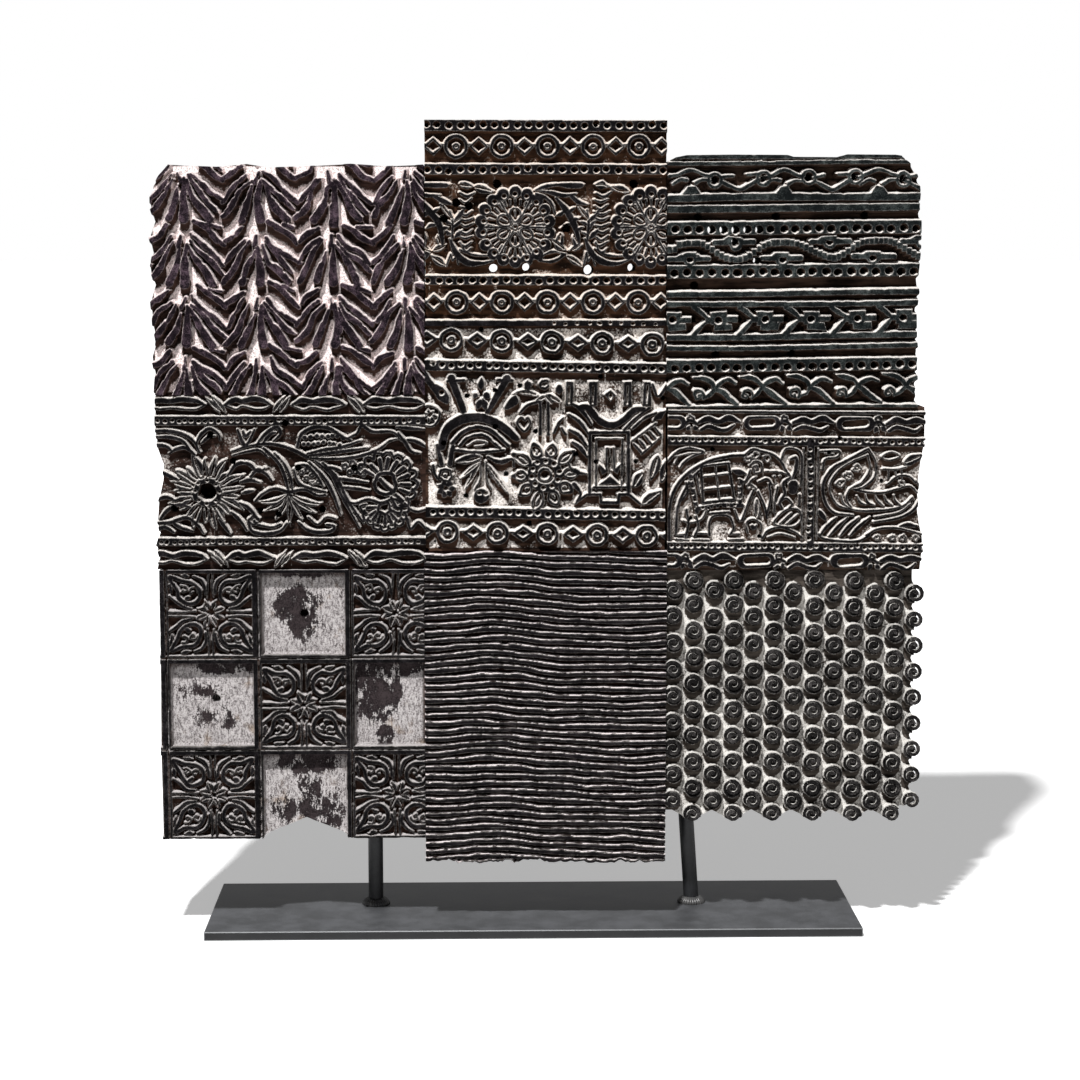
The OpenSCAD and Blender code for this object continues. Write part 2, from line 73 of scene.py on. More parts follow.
CHIP_BOUND = 0.35
CHIP_DEPTH = 0.7
TURN = [2 * math.pi * i / 16 for i in range(16)]


class Side(Enum):
    """Edge of a carved face."""

    LEFT = "left"
    RIGHT = "right"
    TOP = "top"
    BOTTOM = "bottom"


class Slot(Enum):
    """Material slots of the stand in the record."""

    STEEL = "blackened_steel"
    WELD = "weld_steel"
    SCREW = "screw_steel"


Array = np.ndarray
Point = tuple[float, float]
Colour = tuple[float, float, float, float]


def linear(code: str) -> Colour:
    """Linear colour of a six-digit sRGB code."""
    parts = [int(code[i : i + 2], 16) / 255 for i in (0, 2, 4)]
    return (*[p / 12.92 if p <= 0.04045 else ((p + 0.055) / 1.055) ** 2.4 for p in parts], 1.0)


def rough(x: Array, z: Array, size: float, seed: int) -> Array:
    """Smooth noise over the carved face.

    Args:
        x: Places across, in millimetres.
        z: Places up, in millimetres.
        size: Distance between independent values, in millimetres.
        seed: Fixed seed of the lattice.

    Returns:
        Values between -1 and 1.
    """
    u = (x - x.min()) / size
    v = (z - z.min()) / size
    lattice = np.random.default_rng(seed).uniform(-1, 1, (int(v.max()) + 2, int(u.max()) + 2))
    i, j = u.astype(int), v.astype(int)
    s, t = u - i, v - j
    s, t = s * s * (3 - 2 * s), t * t * (3 - 2 * t)
    low = lattice[j, i] * (1 - s) + lattice[j, i + 1] * s
    high = lattice[j + 1, i] * (1 - s) + lattice[j + 1, i + 1] * s
    return low * (1 - t) + high * t


@dataclass(frozen=True)
class Unevenness:
    """Noise of a carved face: how far it goes, the size of its patches and its own seed."""

    amount: float
    size: float
    seed: int

    def over(self, x: Array, z: Array, seed: int) -> Array:
        """Noise over the points of a block that has the given seed."""
        return self.amount * rough(x, z, self.size, seed + self.seed)


EDGE_WAVE = Unevenness(0.2, 6, 0)
EDGE_NICKS = Unevenness(0.12, 1.9, 1)
GROUND_WAVE = Unevenness(0.5, 9, 2)
GOUGES = Unevenness(0.3, 2.5, 3)
FACE_WAVE = Unevenness(0.2, 16, 4)
FACE_GRAIN = Unevenness(0.12, 3, 5)
RIM_WEAR = Unevenness(1, 4, 6)
CHIPS = Unevenness(1, 3.4, 7)


def smooth_path(knots: Array, closed: bool) -> Array:
    """Points of a smooth curve through the knots.

    Args:
        knots: Points that the curve passes.
        closed: Whether the last knot joins the first.

    Returns:
        The curve's points, with the last knot where it is open.
    """
    first, last = 2 * knots[:1] - knots[1:2], 2 * knots[-1:] - knots[-2:-1]
    run = np.vstack([knots[-1:], knots, knots[:2]] if closed else [first, knots, last])
    pieces = []
    for a, b, c, d in zip(run, run[1:], run[2:], run[3:]):
        count = max(2, math.ceil(np.linalg.norm(c - b) / PATH_STEP))
        t = (np.arange(count) / count)[:, None]
        curve = 2 * b + (c - a) * t + (2 * a - 5 * b + 4 * c - d) * t**2 + (3 * b - a - 3 * c + d) * t**3
        pieces.append(0.5 * curve)
    return np.vstack(pieces if closed else [*pieces, knots[-1:]])


def round_points(x: float, z: float, across: float, up: float) -> list[Point]:
    """Points of an oval of the given half sizes."""
    return [(x + across * math.cos(a), z + up * math.sin(a)) for a in TURN]


class Relief:
    """A carved face on a grid of points: how far each point lies from the nearest ridge's edge."""

    def __init__(self, width: float, height: float, pitch: float, seed: int) -> None:
        """Lays the grid over a bare face.

        Args:
            width: Width of the face, in millimetres.
            height: Height of the face, in millimetres.
            pitch: Distance between grid points, in millimetres.
            seed: Fixed seed of the hand-cut unevenness.
        """
        self.width, self.height, self.pitch, self.seed = width, height, pitch, seed
        across = np.linspace(0, width, round(width / pitch) + 1)
        up = np.linspace(0, height, round(height / pitch) + 1)
        self.x, self.z = np.meshgrid(across, up)
        self.edge = np.full_like(self.x, FAR)
        self.drop = np.zeros_like(self.x)
        self.bare = np.zeros_like(self.x)
        self.soot_and_painted_shade = np.zeros_like(self.x)
        self.bores: list[tuple[float, float, float]] = []
        self.wander = 0.35
        self.swell = 1.0
        self._hand = np.random.default_rng(seed).normal(0, 1, (HAND_CELLS, HAND_CELLS, 2))
        self._places = [np.eye(3)]
        self._cutting = False

    @contextmanager
    def at(self, x: float, z: float, turn: float = 0, flip: bool = False) -> Iterator[None]:
        """Draws the strokes inside the block of code at another place.

        Args:
            x: Place across.
            z: Place up.
            turn: Turn to the left, in degrees.
            flip: Whether left and right change sides.
        """
        c, s = math.cos(math.radians(turn)), math.sin(math.radians(turn))
        side = -1 if flip else 1
        self._places.append(self._places[-1] @ np.array([[c * side, -s, x], [s * side, c, z], [0, 0, 1]]))
        yield
        self._places.pop()

    def around(self, count: int, start: float = 0, step: float = 0) -> Iterator[int]:
        """Turns the strokes in a loop's body round the present place.

        Args:
            count: How many times the loop runs.
            start: Turn of the first, in degrees.
            step: Turn from one to the next, or 0 for one full round.

        Yields:
            The number of the turn.
        """
        for i in range(count):
            with self.at(0, 0, start + (step * i if step else 360 * i / count)):
                yield i

    @contextmanager
    def cutting(self) -> Iterator[None]:
        """Makes the strokes inside the block of code cut ridges away."""
        self._cutting = True
        yield
        self._cutting = False

    def trim(self, side: Side, profile: Sequence[Point], reach: float = 14) -> None:
        """Draws an edge of the face inwards.

        Args:
            side: Which edge.
            profile: Pairs of a place along the edge and how far the edge is drawn in there.
            reach: How far from the edge the grid gives way.
        """
        place, inset = np.array(profile, float).T
        level = side in (Side.LEFT, Side.RIGHT)
        low = side in (Side.LEFT, Side.BOTTOM)
        inward = np.interp(self.z if level else self.x, place, inset)
        run = self.x if level else self.z
        span = self.width if level else self.height
        share = np.clip(1 - (run if low else span - run) / reach, 0, 1)
        run += inward * share * (1 if low else -1)

    def line(self, points: Sequence[Point], *widths: float, smooth: bool = True,
             closed: bool = False) -> None:
        """Leaves a ridge along a path.

        Args:
            points: Points that the path passes.
            widths: Widths of the ridge, spread evenly from its start to its end.
            smooth: Whether the path is a curve.
            closed: Whether the path joins its start.
        """
        path = self._path(points, smooth, closed)
        if closed:
            path = np.vstack([path, path[:1]])
        run = np.concatenate([[0], np.cumsum(np.linalg.norm(np.diff(path, axis=0), axis=1))])
        half = np.interp(run / run[-1], np.linspace(0, 1, len(widths)), widths) / 2 * self.swell
        window = self._window(path, half.max())
        x, z = self.x[window], self.z[window]
        distance = np.full_like(x, FAR)
        for a, b, start, end in zip(path, path[1:], half, half[1:]):
            away, t = self._to_segment(x, z, a, b)
            np.minimum(distance, away - (start + t * (end - start)), out=distance)
        self._stamp(window, distance)

    def lines(self, widths: float | Sequence[float], *paths: Sequence[Point], **form: bool) -> None:
        """Leaves ridges of the same widths and form along several paths."""
        for path in paths:
            self.line(path, *np.atleast_1d(widths), **form)

    def fill(self, points: Sequence[Point], smooth: bool = True) -> None:
        """Leaves everything inside a closed outline standing.

        Args:
            points: Points of the outline.
            smooth: Whether the outline is a curve.
        """
        path = self._path(points, smooth, closed=True)
        window = self._window(path, 0)
        x, z = self.x[window], self.z[window]
        distance = np.full_like(x, FAR)
        inside = np.zeros(x.shape, bool)
        for a, b in zip(path, np.roll(path, -1, axis=0)):
            np.minimum(distance, self._to_segment(x, z, a, b)[0], out=distance)
            if a[1] != b[1]:
                crosses = (a[1] > z) != (b[1] > z)
                inside ^= crosses & (x < a[0] + (z - a[1]) * (b[0] - a[0]) / (b[1] - a[1]))
        self._stamp(window, np.where(inside, -distance, distance))

    def disc(self, x: float, z: float, radius: float) -> None:
        """Leaves a round standing."""
        self.line([(x, z), (x + 0.01, z)], 2 * radius, smooth=False)

    def ring(self, x: float, z: float, outer: float, inner: float) -> None:
        """Leaves a ring standing."""
        radius = (outer + inner) / 2
        self.line(round_points(x, z, radius, radius), outer - inner, closed=True)

    def rings(self, spots: Sequence[Point], outer: float, inner: float) -> None:
        """Leaves equal rings standing."""
        for x, z in spots:
            self.ring(x, z, outer, inner)

    def oval(self, x: float, z: float, across: float, up: float) -> None:
        """Leaves an oval of the given half sizes standing."""
        self.fill(round_points(x, z, across, up))

    def diamond(self, x: float, z: float, outer: Point, inner: Point) -> None:
        """Leaves a hollow diamond standing.

        Args:
            x: Place across.
            z: Place up.
            outer: Half sizes of the diamond.
            inner: Half sizes of the hollow.
        """
        whole, hollow = ([(x - a, z), (x, z - u), (x + a, z), (x, z + u)] for a, u in (outer, inner))
        self.fill(whole, smooth=False)
        with self.cutting():
            self.fill(hollow, smooth=False)

    def box(self, left: float, low: float, right: float, high: float) -> None:
        """Leaves a rectangle standing."""
        self.fill([(left, low), (right, low), (right, high), (left, high)], smooth=False)

    def leaf(self, base: Point, tip: Point, width: float, vein: float = 0, bend: float = 0) -> None:
        """Leaves a pointed leaf standing.

        Args:
            base: Where the leaf starts.
            tip: Where it ends.
            width: Its greatest width.
            vein: Width of the groove along its middle.
            bend: How far its middle lies to the left of the straight line.
        """
        start, end = np.array(base, float), np.array(tip, float)
        along = end - start
        left = np.array([-along[1], along[0]]) / np.linalg.norm(along)

        def spot(share: float, side: float) -> Point:
            """Point at a share of the length, so far to the left of the bent middle line."""
            return tuple(start + share * along + left * (side + bend * 4 * share * (1 - share)))

        shares = ((0.2, 0.36), (0.5, 0.5), (0.8, 0.3))
        rim = [spot(0, 0), *[spot(s, w * width) for s, w in shares], spot(1, 0)]
        self.fill([*rim, *[spot(s, -w * width) for s, w in reversed(shares)]])
        if vein:
            with self.cutting():
                self.line([spot(0.12, 0), spot(0.5, 0), spot(0.86, 0)], vein, vein, 0.5 * vein)

    def petals(self, count: int, inner: float, outer: float, width: float, vein: float = 0,
               turn: float = 0) -> None:
        """Leaves a round of petals about the present place standing.

        Args:
            count: How many petals.
            inner: Radius where they start.
            outer: Radius where they end.
            width: Greatest width of one.
            vein: Width of the groove along its middle.
            turn: Turn of the first, in degrees.
        """
        for _ in self.around(count, turn):
            self.leaf((inner, 0), (outer, 0), width, vein)

    def spiral(self, x: float, z: float, radius: float, turns: float, *widths: float, start: float = 0,
               hand: int = 1) -> None:
        """Leaves a spiral ridge standing.

        Args:
            x: Place of its eye across.
            z: Place of its eye up.
            radius: Radius of its outer end.
            turns: How many turns it makes.
            widths: Widths from the outer end to the eye.
            start: Angle of the outer end, in degrees.
            hand: 1 to wind to the left, -1 to the right.
        """
        shares = np.linspace(0, 1, max(6, round(10 * turns)))
        angles = math.radians(start) + hand * 2 * math.pi * turns * shares
        reach = radius * (1 - 0.85 * shares)
        self.line([(x + r * math.cos(a), z + r * math.sin(a)) for r, a in zip(reach, angles)], *widths)

    def drill(self, spots: Sequence[Point], radius: float) -> None:
        """Drills a row of deep round holes."""
        with self.cutting():
            for x, z in spots:
                self.disc(x, z, radius)
        self.pits(spots, radius - 1, 6)

    def pits(self, spots: Sequence[Point], radius: float, depth: float = 14) -> None:
        """Sinks blind holes below the ground.

        Args:
            spots: Where they are.
            radius: Their radius.
            depth: How far they go below the ground.
        """
        for x, z in spots:
            inside = np.hypot(self.x - x, self.z - z) < radius
            self.drop[inside] = np.maximum(self.drop[inside], depth)

    def plain(self, left: float, low: float, right: float, high: float, deeper: float) -> None:
        """Marks a square of the ground that was never carved, and sinks it.

        Args:
            left: Its left edge.
            low: Its lower edge.
            right: Its right edge.
            high: Its upper edge.
            deeper: How far it is sunk.
        """
        inside = (self.x > left) & (self.x < right) & (self.z > low) & (self.z < high) & (self.edge > 0)
        self.bare[inside] = 1
        self.drop[inside] = deeper

    def blot(self, x: float, z: float, across: float, up: float, amount: float) -> None:
        """Soils the ground, or lays painted shade on it, most in the middle of an oval of the given half sizes.
        """
        share = amount * (1 - np.hypot((self.x - x) / across, (self.z - z) / up))
        np.maximum(self.soot_and_painted_shade, np.minimum(share, 1), out=self.soot_and_painted_shade)

    def bore(self, x: float, z: float, radius: float) -> None:
        """Drills a hole through the whole block."""
        self.bores.append((x, z, radius))

    def _path(self, points: Sequence[Point], smooth: bool, closed: bool) -> Array:
        """Points of a path at the present place, each as unsteady as the hand is there.

        Args:
            points: Points that the path passes.
            smooth: Whether the path is a curve.
            closed: Whether the path joins its start.

        Returns:
            The points on the face.
        """
        knots = np.array(points, float) @ self._places[-1][:2, :2].T + self._places[-1][:2, 2]
        across, up = np.rint(knots / HAND_STEP).astype(int).T % HAND_CELLS
        knots += self.wander * self._hand[across, up]
        return smooth_path(knots, closed) if smooth else knots

    def _window(self, path: Array, half: float) -> tuple[slice, slice]:
        """Part of the grid that a stroke can reach.

        Args:
            path: The stroke's points.
            half: Half its width.

        Returns:
            Rows and columns.
        """
        margin = half + MARGIN
        low = np.maximum((path.min(0) - margin) / self.pitch, 0).astype(int)
        high = np.maximum((path.max(0) + margin) / self.pitch + 2, 0).astype(int)
        return slice(low[1], high[1]), slice(low[0], high[0])

    @staticmethod
    def _to_segment(x: Array, z: Array, a: Array, b: Array) -> tuple[Array, Array]:
        """Nearest point of a straight stretch.

        Args:
            x: Places across.
            z: Places up.
            a: Start of the stretch.
            b: End of the stretch.

        Returns:
            The distance to it, and its share of the stretch.
        """
        d = b - a
        t = np.clip(((x - a[0]) * d[0] + (z - a[1]) * d[1]) / max(d @ d, 1e-12), 0, 1)
        return np.hypot(x - a[0] - t * d[0], z - a[1] - t * d[1]), t

    def _stamp(self, window: tuple[slice, slice], distance: Array) -> None:
        """Adds a shape to the ridges, or cuts it out of them."""
        part = self.edge[window]
        if self._cutting:
            np.maximum(part, -distance, out=part)
        else:
            np.minimum(part, distance, out=part)


class Signal:
    """An output socket that takes part in Python arithmetic."""

    def __init__(self, sheet: "Sheet", socket: NodeSocket) -> None:
        """Keeps the socket and the sheet that it is on."""
        self.sheet, self.socket = sheet, socket

    def maths(self, operation: str, *others: "Signal | float", clamp: bool = False) -> "Signal":
        """Result of a Math node.

        Args:
            operation: Name of the operation.
            others: Further operands.
            clamp: Whether the result is kept between 0 and 1.

        Returns:
            The node's output.
        """
        settings = {"operation": operation, "use_clamp": clamp}
        return self.sheet.add("ShaderNodeMath", settings, dict(enumerate((self, *others))))

    def __add__(self, other: "Signal | float") -> "Signal":
        """Sum."""
        return self.maths("ADD", other)

    def __sub__(self, other: "Signal | float") -> "Signal":
        """Difference."""
        return self.maths("SUBTRACT", other)

    def __mul__(self, other: "Signal | float") -> "Signal":
        """Product."""
        return self.maths("MULTIPLY", other)

    def __truediv__(self, other: "Signal | float") -> "Signal":
        """Quotient."""
        return self.maths("DIVIDE", other)

    def __rsub__(self, other: float) -> "Signal":
        """Difference from a number."""
        return self.sheet.add("ShaderNodeMath", {"operation": "SUBTRACT"}, {0: other, 1: self})

    __radd__, __rmul__ = __add__, __mul__

    def step(self, low: float, high: float) -> "Signal":
        """Smooth step from 0 at low to 1 at high."""
        inputs = {"Value": self, "From Min": low, "From Max": high}
        return self.sheet.add("ShaderNodeMapRange", {"interpolation_type": "SMOOTHSTEP"}, inputs)


class Sheet:
    """A node tree that is filled in by code."""

    def __init__(self, tree: NodeTree) -> None:
        """Keeps the tree."""
        self.tree = tree

    def node(self, kind: str, settings: dict | None = None, inputs: dict | None = None) -> Node:
        """Adds a node.

        Args:
            kind: The node's type.
            settings: Properties, which are set first.
            inputs: Values or signals by the input's name or number.

        Returns:
            The node.
        """
        made = self.tree.nodes.new(kind)
        for name, value in (settings or {}).items():
            setattr(made, name, value)
        for name, value in (inputs or {}).items():
            socket = made.inputs[name]
            if isinstance(value, Signal):
                self.tree.links.new(value.socket, socket)
            else:
                socket.default_value = value
        return made

    def add(self, kind: str, settings: dict | None = None, inputs: dict | None = None,
            output: int | str = 0) -> Signal:
        """Adds a node, and gives one of its outputs."""
        return Signal(self, self.node(kind, settings, inputs).outputs[output])

    def attribute(self, name: str) -> Signal:
        """Number that the mesh stores under a name."""
        return self.add("ShaderNodeAttribute", {"attribute_name": name}, output="Fac")

    def noise(self, size: float, seed: float, detail: float = 3, stretch: Sequence[float] = (1, 1, 1),
              place: "Signal | None" = None) -> Signal:
        """Noise over the piece.

        Args:
            size: Size of a patch, in millimetres.
            seed: Place on the fourth axis.
            detail: How many finer layers it has.
            stretch: Factors on the size along each axis.
            place: Coordinates in millimetres, or the object's own in metres where none are given.

        Returns:
            Values about 0.5.
        """
        unit = MM if place is None else 1
        place = place or self.add("ShaderNodeTexCoord", output="Object")
        scale = [1 / (size * unit * s) for s in stretch]
        place = self.add("ShaderNodeVectorMath", {"operation": "MULTIPLY"}, {0: place, 1: scale})
        return self.add("ShaderNodeTexNoise", {"noise_dimensions": "4D"},
                        {"Vector": place, "W": seed, "Scale": 1.0, "Detail": detail, "Roughness": 0.6})

    def bump(self, strength: float, distance: float, height: Signal) -> Signal:
        """Normal of a surface that is raised by a height, over a distance in millimetres."""
        inputs = {"Strength": strength, "Distance": distance * MM, "Height": height}
        return self.add("ShaderNodeBump", None, inputs)

    def blend(self, share: Signal, low: "Signal | Colour", high: "Signal | Colour") -> Signal:
        """Mix of two colours."""
        return self.add("ShaderNodeMix", {"data_type": "RGBA"}, {0: share, 6: low, 7: high}, 2)


class Growth:
    """A Geometry Nodes tree that grows one piece, in millimetres, from spots and named sizes."""

    def __init__(self, name: str, **sizes: float) -> None:
        """Starts the tree.

        Args:
            name: Its name.
            sizes: Values of its inputs, whose names are given with underscores.
        """
        self.name = name
        self.sizes = {label.replace("_", " "): value for label, value in sizes.items()}
        self.tree = bpy.data.node_groups.new(name, "GeometryNodeTree")
        sockets = {"Spots": "NodeSocketGeometry", **dict.fromkeys(self.sizes, "NodeSocketFloat"),
                   "Finish": "NodeSocketMaterial"}
        for label, kind in sockets.items():
            self.tree.interface.new_socket(label, in_out="INPUT", socket_type=kind)
        self.tree.interface.new_socket("Piece", in_out="OUTPUT", socket_type="NodeSocketGeometry")
        self.sheet = Sheet(self.tree)
        self.source = self.sheet.node("NodeGroupInput")

    def __getitem__(self, label: str) -> Signal:
        """One of the named inputs."""
        return Signal(self.sheet, self.source.outputs[label])

    def make(self, kind: str, **inputs: object) -> Signal:
        """Adds a geometry node whose inputs are given with underscores, and gives its first output."""
        named = {label.replace("_", " "): value for label, value in inputs.items()}
        return self.sheet.add("GeometryNode" + kind, None, named)

    def vector(self, x: "Signal | float", y: "Signal | float", z: "Signal | float") -> Signal:
        """Vector of three numbers."""
        return self.sheet.add("ShaderNodeCombineXYZ", None, {0: x, 1: y, 2: z})

    def parts(self, vector: Signal) -> list[Signal]:
        """Three numbers of a vector."""
        node = self.sheet.node("ShaderNodeSeparateXYZ", None, {0: vector})
        return [Signal(self.sheet, output) for output in node.outputs]

    def store(self, shape: Signal, domain: str, **values: Signal) -> Signal:
        """Stores named numbers on a shape.

        Args:
            shape: The shape.
            domain: Whether its points or its faces hold them.
            values: The numbers by name.

        Returns:
            The shape that holds them.
        """
        settings = {"data_type": "FLOAT", "domain": domain}
        for name, value in values.items():
            inputs = {"Geometry": shape, "Name": name, "Value": value}
            shape = self.sheet.add("GeometryNodeStoreNamedAttribute", settings, inputs)
        return shape

    def gather(self, node: Node, label: int | str, *shapes: Signal) -> Signal:
        """Links several shapes to one input of a node, and gives its first output."""
        for shape in shapes:
            self.tree.links.new(shape.socket, node.inputs[label])
        return Signal(self.sheet, node.outputs[0])

    def random(self, low: Signal | float, high: Signal | float, seed: int) -> Signal:
        """Random number between two bounds for each spot."""
        inputs = {2: low, 3: high, "Seed": seed}
        return self.sheet.add("FunctionNodeRandomValue", {"data_type": "FLOAT"}, inputs, 1)

    def grow(self, shape: Signal, finish: Material, spots: Sequence[Sequence[float]] = ()) -> Mesh:
        """Ends the tree and evaluates it once.

        Args:
            shape: What the tree has made.
            finish: Material of the piece.
            spots: Points that the tree starts from.

        Returns:
            The piece's mesh, in metres.
        """
        shape = self.make("Transform", Geometry=shape, Scale=(MM, MM, MM))
        shape = self.make("RealizeInstances", Geometry=shape)
        shape = self.make("SetMaterial", Geometry=shape, Material=self["Finish"])
        self.sheet.node("NodeGroupOutput", None, {0: shape})
        base = bpy.data.meshes.new(self.name)
        base.from_pydata(spots, [], [])
        holder = bpy.data.objects.new(self.name, base)
        bpy.context.scene.collection.objects.link(holder)
        modifier = holder.modifiers.new("growth", "NODES")
        modifier.node_group = self.tree
        for item in self.tree.interface.items_tree:
            if item.name in self.sizes:
                modifier[item.identifier] = float(self.sizes[item.name])
            elif item.name == "Finish":
                modifier[item.identifier] = finish
        done = holder.evaluated_get(bpy.context.evaluated_depsgraph_get())
        mesh = bpy.data.meshes.new_from_object(done)
        holder.modifiers.remove(modifier)
        bpy.data.objects.remove(holder)
        mesh.shade_smooth()
        mesh.set_sharp_from_angle(angle=SHARP)
        return mesh


def new_material(name: str) -> tuple[Material, Sheet, Node]:
    """Empty material.

    Args:
        name: Its name.

    Returns:
        The material, its sheet and its surface shader.
    """
    material = bpy.data.materials.new(name)
    material.use_nodes = True
    return material, Sheet(material.node_tree), material.node_tree.nodes["Principled BSDF"]


def connect(sheet: Sheet, shader: Node, **inputs: Signal) -> None:
    """Links signals to the shader's sockets, whose names are given with underscores."""
    for name, signal in inputs.items():
        sheet.tree.links.new(signal.socket, shader.inputs[name.replace("_", " ")])


@dataclass(frozen=True)
class CarvedWood:
    """Finish of a worn printing block: inked faces with a painted highlight on their upper rims, chalky ledges
    that also carry painted light, and brown ground with painted shadow below the ridges.
    """

    name: str
    seed: float
    ink: str = "070607"
    ink_worn: str = "282527"
    # Colour of rubbed rims, laid mostly on rims that face up as a painted highlight.
    rubbed: str = "d9d3cd"
    wood: str = "42312a"
    wood_dark: str = "120d0b"
    chalk: str = "ece6e0"
    grimy: str = "5e5450"
    # Chalk on walls that face up, which also stands in for painted light where the lamp falls on them.
    ledge_chalk_and_light: float = 0.8
    ground_chalk: float = 0.25
    # How much the painted shadow below the ridges takes the chalk away.
    painted_shadow_strength: float = 0.35
    # Strength of the rubbed rims and of their painted highlight.
    rub_and_highlight: float = 0.75
    grime: float = 0.5

    def soil(self, sheet: Sheet, ground: Signal) -> Signal:
        """Colour of the ground, as it is where nothing has dirtied it."""
        return ground

    def material(self) -> Material:
        """Builds the finish from the block's stored relief, rim, lift and painted shadow.

        Returns:
            The material.
        """
        made, sheet, shader = new_material(self.name)
        relief, rim, lift = (sheet.attribute(n) for n in ("relief", "rim", "lift"))
        patch = sheet.noise(22, self.seed, 2)
        speck = sheet.noise(1.3, self.seed + 3, 4)
        grit = sheet.noise(0.7, self.seed + 5, 2)
        grain = sheet.noise(3, self.seed + 7, 3, (9, 1, 1))
        dark = (0.6 * grain + 0.4 * patch).step(0.35, 0.65)
        wood = sheet.blend(dark, linear(self.wood_dark), linear(self.wood))
        # Walls that face up are whitened: partly chalk that settled there, partly painted light where the lamp
        # falls on them.
        up = lift.step(0.05, 0.55) * relief.step(0.05, 0.3)
        amount = self.ground_chalk + up * (self.ledge_chalk_and_light - self.ground_chalk)
        chalk_and_painted_light = 0.45 * patch + 0.55 * speck + amount - 0.5
        # Painted shadow: chalk is taken off the ground right below each ridge, where its cast shadow falls,
        # leaving brown wood.
        chalk_and_painted_light = chalk_and_painted_light - self.painted_shadow_strength * sheet.attribute("painted_shadow_and_edges") * (1 - up)
        soil = (0.5 * grit + 0.5 * speck).step(self.grime, self.grime + 0.14)
        chalk = sheet.blend(soil * 0.75, linear(self.chalk), linear(self.grimy))
        chalked_ground_and_painted_light = self.soil(sheet, sheet.blend(chalk_and_painted_light.step(0.42, 0.58), wood, chalk))
        smear = sheet.noise(5, self.seed + 11, 4)
        tired = 0.4 * smear + 0.4 * grit + 0.2 * patch
        ink = sheet.blend(tired.step(0.46, 0.66), linear(self.ink), linear(self.ink_worn))
        nicks = (0.4 * speck + 0.35 * grit + 0.25 * smear).step(0.42, 0.56)
        # Painted highlight: the rubbed colour goes mostly on rims that face up, where the lamp catches them;
        # nicks break it up as wear.
        rubbed_and_highlit_rims = rim.step(-0.6, 0) * (0.25 + 0.75 * lift.step(-0.1, 0.6)) * nicks
        ink = sheet.blend(rubbed_and_highlit_rims * self.rub_and_highlight, ink, linear(self.rubbed))
        face = (0 - rim + (speck - 0.5) * 0.5).step(-0.12, 0.12)
        colour = sheet.blend(face, chalked_ground_and_painted_light, ink)
        gloss = 0.9 - face * (0.4 + 0.3 * (smear - 0.5))
        shader.inputs["Specular IOR Level"].default_value = 0.03
        bump = sheet.bump(0.5, 0.5, grain + speck * 0.7)
        connect(sheet, shader, Base_Color=colour, Roughness=gloss, Normal=bump)
        return made


@dataclass(frozen=True)
class BareWood(CarvedWood):
    """Finish of a block with plain squares: chalky, scuffed with ink, stained by age and given painted shade
    along their tops.
    """

    scuff: str = "1d191a"
    scuff_worn: str = "383132"
    stain: str = "8d7a66"
    scratch: str = "4d4647"

    def soil(self, sheet: Sheet, ground: Signal) -> Signal:
        """Whitens the plain squares, then stains and scuffs them; their tops keep painted shade.

        Args:
            sheet: The material's sheet.
            ground: Colour of the carved ground.

        Returns:
            Colour of the whole ground.
        """
        bare, soot_and_painted_shade = sheet.attribute("bare"), sheet.attribute("soot_and_painted_shade")
        broad = sheet.noise(14, self.seed + 21, 2)
        fine = sheet.noise(1.5, self.seed + 23, 4, (0.8, 1, 2.2))
        grit = sheet.noise(0.8, self.seed + 25, 2)
        pale = sheet.blend((0.7 * broad + 0.3 * fine).step(0.55, 0.7), linear(self.chalk), linear(self.stain))
        pale = sheet.blend((0.5 * fine + 0.5 * grit).step(0.42, 0.6) * 0.85, pale, linear(self.scratch))
        # Painted shadow: the plain squares stay dark right below the frame bar above them.
        ground = sheet.blend(bare * (1 - 0.9 * sheet.attribute("painted_shadow_and_edges")), ground, pale)
        smudge = sheet.noise(6, self.seed + 27, 4, (1, 1, 1.5))
        # Scuffs, and along the top of each square painted shade laid the same way.
        scuffs_and_painted_shade = 2.1 * soot_and_painted_shade.step(0, 2.6) + 2.4 * (smudge - 0.5) + 2.4 * (0.55 * fine + 0.45 * grit - 0.5)
        faded = (0.5 * smudge + 0.5 * grit).step(0.44, 0.62)
        scuff = sheet.blend(faded, linear(self.scuff), linear(self.scuff_worn))
        return sheet.blend(bare * scuffs_and_painted_shade.step(0.3, 0.55), ground, scuff)


@dataclass(frozen=True)
class BlackSteel:
    """Finish of blackened steel with a hand-rubbed sheen and painted shade on upright sides."""

    name: str
    seed: float
    dark: str = "2b2c2d"
    pale: str = "48494b"
    roughness: float = 0.45
    # Painted shade on upright sides.
    painted_side_shade: str = "0c0c0d"
    rubbed: str = "77787a"

    def material(self) -> Material:
        """Builds the finish, with rubbed edges and painted shade on upright sides where the piece stores them.

        Returns:
            The material.
        """
        made, sheet, shader = new_material(self.name)
        cloud = sheet.noise(16, self.seed, 4)
        fine = sheet.noise(0.9, self.seed + 2, 3)
        mix = (0.7 * cloud + 0.3 * fine).step(0.36, 0.66)
        edge = sheet.attribute("edge") * (fine + 0.3)
        tone = sheet.blend(mix, linear(self.dark), linear(self.pale))
        # Painted shade: the upright sides that the piece marks are darkened, as the lamp from above leaves them
        # dim.
        tone = sheet.blend(sheet.attribute("side") * 0.85, tone, linear(self.painted_side_shade))
        colour = sheet.blend(edge.step(0.2, 0.9), tone, linear(self.rubbed))
        shader.inputs["Metallic"].default_value = 0.3
        gloss = self.roughness + 0.25 * (cloud - 0.5)
        connect(sheet, shader, Base_Color=colour, Roughness=gloss, Normal=sheet.bump(0.25, 0.3, fine + cloud))
        return made


